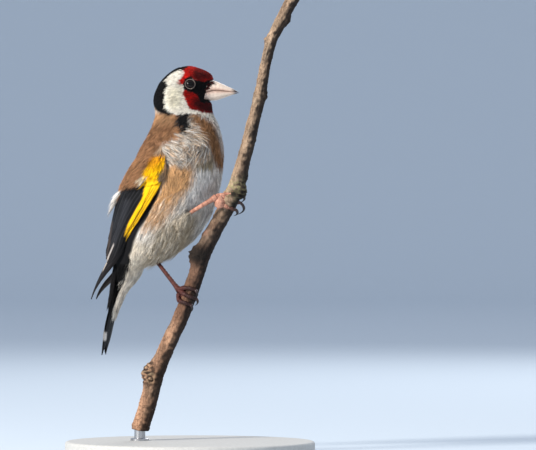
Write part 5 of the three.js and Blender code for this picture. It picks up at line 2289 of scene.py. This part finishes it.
BRANCH_STATIONS = (
    (42.8, 185.2, 2.6), (32.8, 166.0, 2.15), (29.4, 151.6, 2.1), (26.8, 139.2, 2.4), (19.0, 109.6, 2.9),
    (14.8, 99.6, 3.1), (6.4, 83.6, 3.15), (1.5, 69.2, 3.1), (-3.8, 55.2, 3.0), (-12.0, 37.2, 3.2),
    (-17.2, 19.8, 3.4), (-20.2, 10.4, 3.5),
)
KNOTS = (
    (0.9, 174.4, 180, 2.0, 45), (0.8, 165.2, 0, 1.6, 40), (0.8, 144.4, 175, 2.2, 45),
    (0.7, 112.2, 150, 2.4, 60), (0.7, 87.6, 15, 1.6, 40), (2.4, 32.4, 10, 3.6, 55),
)
LUMPS = ((2.7, 103.6, 88, 3.6, 60), (2.2, 107.0, 150, 2.5, 44), (2.1, 79.8, 22, 3.6, 56))
PITS = ((105.4, 92, 1.4, 20), (102.8, 132, 2.6, 24))


@dataclass(frozen=True)
class Branch:
    """The branch's middle line and surface."""

    near_y: float = -7.0
    near_z: float = 102.0
    lean: float = 0.12
    x_at: SmoothCurve = SmoothCurve(tuple((z, x) for x, z, _ in BRANCH_STATIONS))
    r_at: SmoothCurve = SmoothCurve(tuple((z, r) for _, z, r in BRANCH_STATIONS))

    def middle(self, z: Array) -> Array:
        """The middle line at heights."""
        z = np.asarray(z, float)
        return np.stack([self.x_at(z), self.near_y + (self.near_z - z) * self.lean, z], axis=-1)

    def frame(self, z: Array) -> tuple[Array, Array, Array]:
        """The ways along the branch, to the camera and to the left.

        Args:
            z: Heights in millimetres.

        Returns:
            Three ways at each height.
        """
        along = unit(self.middle(np.asarray(z) + 0.5) - self.middle(np.asarray(z) - 0.5))
        near = np.zeros_like(along) + [0.0, -1.0, 0.0]
        near = unit(near + along * along[..., 1:2])
        left = unit(np.cross(near, along))
        return along, near, left * np.where(left[..., :1] > 0, -1.0, 1.0)

    @staticmethod
    def apart(angle: Array, where: float) -> Array:
        """How many degrees angles lie past a direction, from -180 to 180."""
        return (np.degrees(angle) - where + 540) % 360 - 180

    def spot(self, z: Array, angle: Array, place: Iterable[float], power: float = 1.0) -> Array:
        """A round spot's share, from a place of height, direction, reach along and reach around.

        Args:
            z: Heights in millimetres.
            angle: Angles round the shape.
            place: The spot.
            power: How flat its top is.

        Returns:
            Shares from 0 to 1.
        """
        height, where, along, around = place
        away = ((z - height) / along) ** 2 + (self.apart(angle, where) / around) ** 2
        return np.exp(-(away**power))

    def rise(self, z: Array, angle: Array) -> Array:
        """How far knots and buds rise over the round branch."""
        return sum(rise * self.spot(z, angle, place) for rise, *place in KNOTS)

    def whorls(self, z: Array, angle: Array) -> Array:
        """Rings of bark round the healed eyes of the lowest knot, from -1 to 1.

        Args:
            z: Heights in millimetres.
            angle: Angles round the shape.

        Returns:
            The values.
        """
        total = np.zeros(np.broadcast(z, angle).shape)
        for height, where in ((34.0, 22), (31.0, 66)):
            arc = np.radians(self.apart(angle, where)) * 3.6
            away = np.hypot(arc, 0.8 * (z - height)) + 0.25 * np.sin(2.1 * z + 3.0 * angle)
            total = total + np.exp(-((away / 1.7) ** 2)) * np.cos(TURN * away / 1.5)
        return total

    def around(self, z: Array, angle: Array, clear: Array) -> Array:
        """A point round the branch: height, angle from its left over its near side, and clearance.

        Args:
            z: Heights in millimetres.
            angle: Angles round the shape.
            clear: Clearance from the round branch.

        Returns:
            Points in millimetres.
        """
        z, angle, clear = (np.asarray(value, float) for value in np.broadcast_arrays(z, angle, clear))
        _, near, left = self.frame(z)
        radius = (self.r_at(z) + clear)[..., None]
        to_left = left * radius * np.cos(angle)[..., None]
        return self.middle(z) + to_left + near * radius * np.sin(angle)[..., None]


BRANCH = Branch()


@dataclass
class Perch:
    """The cut length of branch with bark, ridges, pores and knots."""

    bark: Material
    top: float = 185.2
    bottom: float = 10.4

    def rough(self, z: Array, angle: Array) -> Array:
        """Small bark relief in millimetres.

        Args:
            z: Heights in millimetres.
            angle: Angles round the shape.

        Returns:
            Heights of the relief.
        """
        ring = self.ring(z, angle)
        ridges = Ripple(3, 2.4)(ring * [1.6, 1.6, 0.35])
        grains = Ripple(4, 0.9)(ring * [1.0, 1.0, 0.6])
        rings = np.exp(-((((z + 3 * np.sin(angle)) % 23.0) - 11.5) / 0.5) ** 2)
        knot = np.clip(BRANCH.rise(z, angle), 0, 1)
        pits = Ripple(8, 1.5)(ring) * knot
        lumps = sum(rise * BRANCH.spot(z, angle, place, 1.5) for rise, *place in LUMPS)
        lumps = lumps * (1 + 0.2 * Ripple(9, 1.5)(ring)) - 0.35 * self.pits(z, angle)
        whorls = 0.4 * BRANCH.whorls(z, angle)
        return 0.14 * ridges + 0.09 * grains + 0.14 * rings + 0.42 * pits + lumps + whorls

    @staticmethod
    def ring(z: Array, angle: Array) -> Array:
        """Points of a round straight branch, at which the bark's noise is read."""
        return np.stack([2.6 * np.cos(angle), 2.6 * np.sin(angle), z], axis=-1)

    @staticmethod
    def pits(z: Array, angle: Array) -> Array:
        """Hollows in the lump at the right foot, from 0 to 1, which the bark's colour paints black as painted
        shade.
        """
        return np.maximum(*(BRANCH.spot(z, angle, place, 1.5) for place in PITS))

    def build(self) -> None:
        """Makes the branch."""

        def place(around: Array, along: Array) -> Array:
            """Points of the bark, drawn in a little at both cuts.

            Args:
                around: Shares round the shape.
                along: Shares along it.

            Returns:
                Points in millimetres.
            """
            inset = np.clip(np.minimum(along, 1 - along) * 260, 0, 1)
            z = mix(self.bottom, self.top, along)
            angle = around * TURN
            return BRANCH.around(z, angle, BRANCH.rise(z, angle) + self.rough(z, angle) - 0.5 * (1 - inset))

        def tint(around: Array, along: Array) -> Array:
            """Tan bark with brown, grey and black markings, the bud and the lichen, with painted shade down
            the branch's right side and in its pits.

            Args:
                around: Shares round the shape.
                along: Shares along it.

            Returns:
                Linear colours.
            """
            z = mix(self.bottom, self.top, along)
            angle = around * TURN
            ring = self.ring(z, angle)
            tan = mix(linear(172, 134, 108), linear(164, 140, 118), smooth_step(40, 100, z)[:, None])
            tan = tinge(tan, (96, 66, 52), 0.8 * smooth_step(46, 60, z) * (1 - smooth_step(86, 100, z)))
            grey = smooth_step(0.1, 0.9, Ripple(12, 9.0)(ring))
            tan = tinge(tan, (126, 116, 102), 0.35 * grey)
            # Painted shade: the bark darkens to near black down the branch's right side, away from the key
            # light.
            shaded = smooth_step(-0.15, 0.6, -np.cos(angle + 0.15) + 0.22 * Ripple(16, 3.0)(ring))
            tan = tinge(tan, (26, 19, 17), 0.93 * shaded)
            speck = smooth_step(0.35, 0.9, Ripple(17, 0.8)(ring))
            tan = tinge(tan, (58, 44, 36), 0.6 * speck)
            knot = np.clip(BRANCH.rise(z, angle) * 1.3, 0, 1) * smooth_step(0.0, 1.0, np.abs(z - 88.2) / 2.4)
            dark = knot * smooth_step(-0.6, 0.3, Ripple(14, 2.0)(ring))
            tan = tinge(tan, (36, 30, 26), 0.88 * dark)
            whorls = BRANCH.whorls(z, angle)
            tan = tinge(tan, (26, 21, 18), 0.85 * smooth_step(0.03, 0.3, -whorls))
            tan = tinge(tan, (166, 142, 114), 0.6 * smooth_step(0.15, 0.5, whorls))
            bud = np.exp(-((z - 88.4) / 1.2) ** 2) * np.clip(np.cos(angle - 0.26), 0, 1) ** 4
            tan = tinge(tan, (196, 150, 128), 0.8 * bud)
            lichen = np.exp(-((z - 107.0) / 3.4) ** 2) * smooth_step(-0.5, 0.4, Ripple(15, 1.7)(ring))
            tan = tinge(tan, (150, 143, 106), 0.8 * lichen)
            crack = smooth_step(-0.1, 0.5, -Ripple(18, 1.9)(ring) - np.cos(angle))
            crack = np.exp(-((z - 105.4) / 3.6) ** 2) * crack
            burr = np.exp(-((z - 80.4) / 4.2) ** 4) * np.clip(1.5 * np.cos(angle - 0.8), 0, 1)
            # Black cracks and burr, and the pits painted black as painted shade.
            black = np.maximum(np.maximum(0.75 * crack, burr), 1.05 * self.pits(z, angle))
            return tinge(tan, (20, 18, 16), 0.93 * black)

        thing = shell("bark_perch", 60, 520, place, tint)
        dress(thing, self.bark, "bark", "perch")


class Foot(Enum):
    """The two feet: ankle, pad height, pad angle and the joint where the toes part."""

    RIGHT = ((1.0, -14.4, 97.8), 103.6, 48.0, (10.2, -11.8, 103.2))
    LEFT = ((-12.6, 7.4, 76.6), 65.0, 8.0, (-4.2, -2.9, 66.2))


@dataclass(frozen=True)
class Toe:
    """A toe: angles past the pad, drift along the branch, and its claw's bow and drop on each foot."""

    name: str
    first: float
    last: float
    start: float
    end: float
    bows: Pair
    drops: Pair


TOES = (
    Toe("inner", 8, 112, 0.8, 2.4, (1.6, 1.5), (3.0, 3.2)),
    Toe("middle", 10, 136, 0.0, -0.6, (3.0, 1.2), (5.0, 2.8)),
    Toe("outer", 8, 116, -3.6, -3.4, (1.3, 1.2), (2.4, 2.8)),
    Toe("hind", -12, -104, -0.4, -1.6, (1.6, 1.5), (2.8, -3.0)),
)


def sweep(name: str, path: Callable[[Array], Array], radius: Place,
          tint: Place, sides: int, rings: int, up: Array) -> Thing:
    """A closed limb along a path, its radius read at shares round and along it.

    Args:
        name: The new object's name.
        path: Points in millimetres from shares along.
        radius: The radius from shares round and along.
        tint: Linear colours from the same shares.
        sides: Faces round the limb.
        rings: Faces along it.
        up: Where share 0.25 round the limb faces.

    Returns:
        The new object.
    """

    def place(around: Array, along: Array) -> Array:
        """Points of the limb.

        Args:
            around: Shares round the shape.
            along: Shares along it.

        Returns:
            Points in millimetres.
        """
        middle = path(along)
        ahead = path(np.minimum(along + 0.01, 1))
        behind = path(np.maximum(along - 0.01, 0))
        way = unit(ahead - behind)
        side = unit(np.cross(way, up))
        rise = np.cross(side, way)
        turn = around * TURN
        reach = radius(around, along)[:, None]
        return middle + reach * (np.cos(turn)[:, None] * side + np.sin(turn)[:, None] * rise)

    return shell(name, sides, rings, place, tint)


def along_points(points: Array) -> Callable[[Array], Array]:
    """A smooth path through points that are evenly spaced along it.

    Args:
        points: Points in millimetres.

    Returns:
        The path.
    """
    shares = np.linspace(0, 1, len(points))
    curves = [SmoothCurve(tuple(zip(shares, points[:, k]))) for k in range(3)]
    return lambda t: np.stack([curve(t) for curve in curves], axis=-1)


@dataclass
class Leg:
    """A bare shank, a foot with four toes round the branch, and its claws."""

    foot: Foot
    skin: Material
    horn: Material
    gap: float = 0.1
    toe_radius: float = 1.0
    toe_end: float = 0.66

    def __post_init__(self) -> None:
        """Reads the foot's places."""
        ankle, self.pad_z, self.pad_angle, joint = self.foot.value
        self.ankle = np.array(ankle)
        self.word = self.foot.name.lower()
        self.pad = np.array(joint)

    def tint(self, around: Array, along: Array) -> Array:
        """Pinkish skin, redder at the joints, darker on each limb's underside and over the whole far leg as
        painted shade.

        Args:
            around: Shares round the shape.
            along: Shares along it.

        Returns:
            Linear colours.
        """
        # Painted shade: the far leg takes the near leg's colours much darkened, as it stands in shade.
        base = linear(206, 156, 132) if self.foot is Foot.RIGHT else linear(92, 52, 47)
        joint_and_shade_red = linear(128, 58, 46) if self.foot is Foot.RIGHT else linear(56, 30, 29)
        band = 0.5 + 0.5 * np.sin(along * 40)
        # Painted shade on the limb's underside.
        under = 1 - smooth_step(-0.6, 0.3, np.sin(around * TURN))
        return mix(np.ones((len(along), 1)) * base, joint_and_shade_red, np.clip(0.4 * band + 0.5 * under, 0, 1)[:, None])

    def toe_tint(self, around: Array, along: Array) -> Array:
        """The skin's colours, browner to the claw."""
        return tinge(self.tint(around, along), (54, 36, 32), smooth_step(0.2, 0.62, along) * 0.9)

    @staticmethod
    def scutes(around: Array, along: Array, count: float, depth: float) -> Array:
        """The overlap of plates across the upper side, as a share of the radius.

        Args:
            around: Shares round the shape.
            along: Shares along it.
            count: Plates along the limb.
            depth: How far they stand out.

        Returns:
            Shares of the radius.
        """
        upper = smooth_step(-0.2, 0.5, np.sin(around * TURN))
        saw = (along * count) % 1.0
        return 1 + depth * upper * (saw**2 - 0.4)

    def shank(self) -> None:
        """The shank from the ankle's feathers to the pad."""
        way = unit(self.pad - self.ankle)
        start = self.ankle + ([-1.3, 3.2, -0.9] if self.foot is Foot.RIGHT else way * -3.0)
        end = self.pad + way * 0.3
        path = along_points(np.array([start, mix(self.ankle, end, 0.45), end]))

        def radius(around: Array, along: Array) -> Array:
            """The shank's radius, larger at the joint with the toes."""
            size = 0.76 + 0.2 * along + 0.4 * np.exp(-((1 - along) / 0.14) ** 2)
            return size * self.scutes(around, along, 12, 0.2)

        front = np.array([0.3, -0.9, 0.3]) if self.foot is Foot.RIGHT else np.array([0.6, -0.5, 0.6])
        thing = sweep(f"skin_shank_{self.word}", path, radius, self.tint, 20, 120, front)
        dress(thing, self.skin, "leg_skin", f"shank_{self.word}")

    def toe_path(self, toe: Toe) -> Callable[[Array], Array]:
        """A toe's middle line round the branch.

        Args:
            toe: The toe.

        Returns:
            The path.
        """
        t = np.linspace(0, 1, 9)
        angle = np.radians(self.pad_angle + mix(toe.first * 0.2, toe.last, t))
        z = self.pad_z + mix(toe.start, toe.end, np.minimum(1, t * 1.6))
        points = BRANCH.around(z, angle, self.gap + 0.1 + mix(self.toe_radius, self.toe_end, t))
        away = (1 - smooth_step(-0.1, 0.34, t))[:, None]
        return along_points(mix(points, self.pad + [0.0, 0.0, 0.3 * toe.start], away))

    def toes(self) -> None:
        """The toes and the pad joined in one piece."""
        things = []
        for toe in TOES:
            middle = BRANCH.middle(self.pad_z)

            def radius(around: Array, along: Array) -> Array:
                """The toe's radius, with its joints and a round end."""
                joint = 1 + 0.12 * np.cos(TURN * 3 * along)
                size = mix(self.toe_radius, self.toe_end, along) * joint
                end = np.sqrt(np.clip((1 - along) * 12, 0.02, 1))
                return size * end * self.scutes(around, along, 16, 0.2)

            path = self.toe_path(toe)
            up = unit(path(np.array([0.5]))[0] - middle) + [0.0, 0.0, 0.01]
            things.append(sweep(f"toe_{toe.name}", path, radius, self.toe_tint, 16, 128, up))
        bm = bmesh.new()
        for thing in things:
            bm.from_mesh(thing.data)
            mesh = thing.data
            bpy.data.objects.remove(thing)
            bpy.data.meshes.remove(mesh)
        layer = bm.verts.layers.float_color.get("tint")
        ball = bmesh.ops.create_uvsphere(bm, u_segments=20, v_segments=14, radius=1.4 * MM)["verts"]
        bmesh.ops.scale(bm, verts=ball, vec=(1.5, 1.1, 2.0))
        bmesh.ops.translate(bm, verts=ball, vec=Vector(self.pad + [1.6, 0.4, -1.4]) * MM)
        knobs = Ripple(21, 1.5)(np.array([vert.co[:] for vert in ball]) / MM)
        for vert, knob in zip(ball, knobs):
            vert.co += (vert.co - Vector(self.pad) * MM) * float(0.12 * knob)
            vert[layer] = (*self.tint(np.array([0.25]), np.array([0.118 + 0.039 * knob]))[0], 1.0)
        foot = finished(bm, f"skin_foot_{self.word}", True)
        dress(foot, self.skin, "leg_skin", f"foot_{self.word}")

    def claws(self) -> None:
        """Curved claws that hook down past the toes."""
        for toe in TOES:
            which = 0 if self.foot is Foot.RIGHT else 1
            sign = math.copysign(1, toe.last)
            t = np.linspace(0, 1, 9)
            angle = np.radians(self.pad_angle + toe.last + sign * mix(-4, 14, t))
            bow = toe.bows[which] * np.sin(math.pi * (t * 0.86 + 0.04))
            z = self.pad_z + toe.end - toe.drops[which] * t**1.35
            path = along_points(BRANCH.around(z, angle, self.gap + 0.1 + mix(0.56, 0.25, t) + bow))

            def radius(around: Array, along: Array) -> Array:
                """The claw's radius, down to its point."""
                return mix(0.7, 0.05, along**1.15) * (1 + 0.1 * np.cos(around * 4 * math.pi))

            def tint(around: Array, along: Array) -> Array:
                """Dark brown horn, black at the point."""
                return tinge(linear(62, 42, 40), (20, 16, 18), smooth_step(0, 0.5, along))

            name = f"claw_{self.word}_{toe.name}"
            thing = sweep(f"horn_{name}", path, radius, tint, 14, 40, np.array([0.0, 0.0, 1.0]))
            dress(thing, self.horn, "claw", name)

    def build(self) -> None:
        """Makes the leg."""
        self.shank()
        self.toes()
        self.claws()


# Stand and studio


@dataclass
class Stand:
    """A round base and a short rod under the branch."""

    lacquer: Material
    steel: Material
    radius: float = 50.0
    height: float = 6.0
    edge_round: float = 1.2
    rod_radius: float = 2.2
    collar_radius: float = 3.7

    def turned(self, name: str, profile: list[Pair], middle: Pair,
               steps: int) -> Thing:
        """A solid of revolution from a profile of radius and height.

        Args:
            name: The new name.
            profile: Points of radius and height.
            middle: Its axis in x and y.
            steps: Faces round it.

        Returns:
            The new object.
        """
        bm = revolved([(radius * MM, height * MM) for radius, height in profile], steps, 1e-6)
        bmesh.ops.translate(bm, verts=bm.verts, vec=(middle[0] * MM, middle[1] * MM, 0))
        return finished(bm, name)

    def build(self) -> None:
        """Makes the base and the rod."""
        bend = self.edge_round
        edge = [(self.radius - bend + bend * math.sin(a), self.height - bend + bend * math.cos(a))
                for a in np.linspace(0, math.pi / 2, 7)]
        profile = [(0, self.height), *edge, (self.radius, 0.4), (self.radius - 0.4, 0), (0, 0)]
        base = self.turned("lacquer_base", profile, (0, 0), 128)
        dress(base, self.lacquer, "stand_base", "stand_base")
        foot = BRANCH.middle(np.array(Perch.bottom))
        top = Perch.bottom + 0.4
        wide = self.collar_radius
        collar = [(self.rod_radius, 7.0), (3.4, 7.0), (wide, 6.7), (wide, 5.9), (0, 5.9)]
        rod = self.turned("steel_rod", [(0, top), (self.rod_radius, top), *collar], (foot[0], foot[1]), 48)
        dress(rod, self.steel, "stand_rod", "stand_rod")


@dataclass
class Studio:
    """The pale floor, soft lights and the camera at the picture's angle."""

    distance: float = 1.8
    centre_x: float = 0.0312
    centre_z: float = 0.0924
    frame_width: float = 0.2144
    sensor: float = 36.0
    aim: Triple = (-0.005, 0.0, 0.1)

    def floor(self) -> None:
        """A wide pale floor that curves up at its rim, the same from every side."""
        bend = [(3.6 + 1.3 * math.sin(a), 1.3 - 1.3 * math.cos(a)) for a in np.linspace(0, math.pi / 2, 13)]
        profile = [(0.0, 0.0), (1.8, 0.0), *bend, (4.9, 1.7)]
        bm = revolved(profile, 96, 1e-5)
        if min(bm.faces, key=lambda face: face.calc_center_median().length).normal.z < 0:
            bmesh.ops.reverse_faces(bm, faces=bm.faces)
        floor = finished(bm, "floor", True)
        sheet = NodeSheet("floor_paper")
        sheet.shader.inputs["Base Color"].default_value = (0.6, 0.67, 0.73, 1)
        sheet.set(roughness=0.9, specular=0.2)
        floor.data.materials.append(sheet.material)

    def light(self, name: str, place: Triple, size: float, power: float,
              colour: Triple = (1, 1, 1)) -> None:
        """A square soft light that faces the bird.

        Args:
            name: The new name.
            place: Its place in metres.
            size: Its edge in metres.
            power: Its power in watts.
            colour: Its linear colour.
        """
        data = bpy.data.lights.new(name, "AREA")
        data.shape = "SQUARE"
        data.size = size
        data.energy = power
        data.color = colour
        lamp = link(name, data)
        lamp.location = place
        aim = Vector(self.aim) - Vector(place)
        lamp.rotation_euler = aim.to_track_quat("-Z", "Y").to_euler()

    def camera(self) -> None:
        """The level camera with the picture's framing."""
        data = bpy.data.cameras.new("camera")
        data.sensor_width = self.sensor
        data.lens = self.sensor * self.distance / self.frame_width
        data.clip_start = 0.05
        camera = link("camera", data)
        camera.location = (self.centre_x, -self.distance, self.centre_z)
        camera.rotation_euler = (math.pi / 2, 0, 0)
        bpy.context.scene.camera = camera

    def build(self) -> None:
        """Sets the stage."""
        self.floor()
        self.camera()
        world = bpy.data.worlds.new("studio")
        world.use_nodes = True
        world.node_tree.nodes["Background"].inputs["Color"].default_value = (0.47, 0.52, 0.62, 1)
        world.node_tree.nodes["Background"].inputs["Strength"].default_value = 1.12
        bpy.context.scene.world = world
        bpy.context.scene.view_settings.view_transform = "Standard"
        self.light("key", (-1.0, -0.85, 0.68), 0.25, 30.0, (1.0, 0.96, 0.9))
        self.light("fill", (0.6, -1.1, 0.3), 0.9, 1.2, (0.93, 0.96, 1.0))
        self.light("rim", (0.5, 1.0, 0.8), 0.7, 6.0)


@dataclass(frozen=True)
class Region:
    """A part of the skin with the kind of small feather that grows there."""

    kind: TuftKind
    slot: str
    curve: float
    whiten: float = 0.0


class Regions(Enum):
    """The coat's regions, in the order in which they grow."""

    FACE = Region(FACE, "head_plumage", 8.0)
    CROWN = Region(CROWN, "head_plumage", 9.0)
    SHAWL = Region(SHAWL, "body_plumage", 16.0)
    DOWN = Region(DOWN, "body_plumage", 15.0)
    RUFF = Region(STRAND, "body_plumage", 16.0)
    LOOSE = Region(LOOSE, "body_plumage", 15.0, 0.55)
    THIGH = Region(THIGH_TUFT, "body_plumage", 9.0, 0.35)
    SCAPULARS = Region(SCAPULARS, "body_plumage", 14.0)

    def covers(self, points: Array, angle: Array) -> Array:
        """Which points of the skin, at their angles round the body, lie in the region.

        Args:
            points: Points in millimetres.
            angle: Angles round the shape.

        Returns:
            Whether each point lies in it.
        """
        x, _, z = points.T
        px, py = SHAPE.seen(z, angle)
        if self is Regions.FACE:
            return (z > 138) & (x > -3.5)
        if self is Regions.CROWN:
            return (z > 135) & ~((x > -2.8) & (z > 138))
        if self is Regions.RUFF:
            return RUFF.share(px, py) > 0.5
        if self is Regions.THIGH:
            return THIGH.share(px, py) > 0.5
        if self is Regions.SCAPULARS:
            past = np.degrees(np.abs(angle)) - WING_REAR(z)
            return (past > -9) & (past < 7) & (z > 107) & (z < 124)
        free = ~under_wing(points)
        if self is Regions.SHAWL:
            return (z <= 137) & (z > 101) & free
        if self is Regions.DOWN:
            return (z <= 102.5) & (z > 60) & free
        low = (py > 196) & (py < 262) & (px > 138 + 0.3 * (py - 196)) & (px < 186)
        return low & (z > 72) & free


def dress_body(plumage: Material) -> None:
    """Builds the skin and grows the coat in regions, finest on the face.

    Args:
        plumage: The material of small feathers.
    """
    skin = Skin()
    thing = skin.build()
    dress(thing, plumage, "body_plumage", *skin.nodes)
    coat = Coat(thing)
    for number, region in enumerate(Regions):
        grown = region.value
        coat.tufts(grown.kind, region.covers, 201 + 10 * number, plumage, grown.slot, grown.curve,
                   grown.whiten)


def main() -> None:
    """Builds the goldfinch, its branch, the stand and the studio."""
    logging.basicConfig(level=logging.INFO, format="%(message)s")
    plumage = PlumageFinish().make()
    vane = VaneFinish().make()
    leg_skin = LegFinish().make()
    horn = HornFinish("bill_horn").make()
    claw = HornFinish("claw_horn", 0.28).make()
    dress_body(plumage)
    Head(horn, EyeFinish().make(), leg_skin).build(plumage)
    for side in (1, -1):
        Wing(side, vane, plumage).build()
    Tail(vane, plumage).build()
    for foot in Foot:
        Leg(foot, leg_skin, claw).build()
    Perch(BarkFinish().make()).build()
    Stand(
        StandFinish("base_lacquer", (0.52, 0.51, 0.48), 0.0, 0.62, (700.0, 700.0, 700.0)).make(),
        StandFinish("rod_steel", (0.5, 0.5, 0.51), 1.0, 0.34, (1500.0, 1500.0, 90.0)).make(),
    ).build()
    Studio().build()


if __name__ == "__main__":
    main()
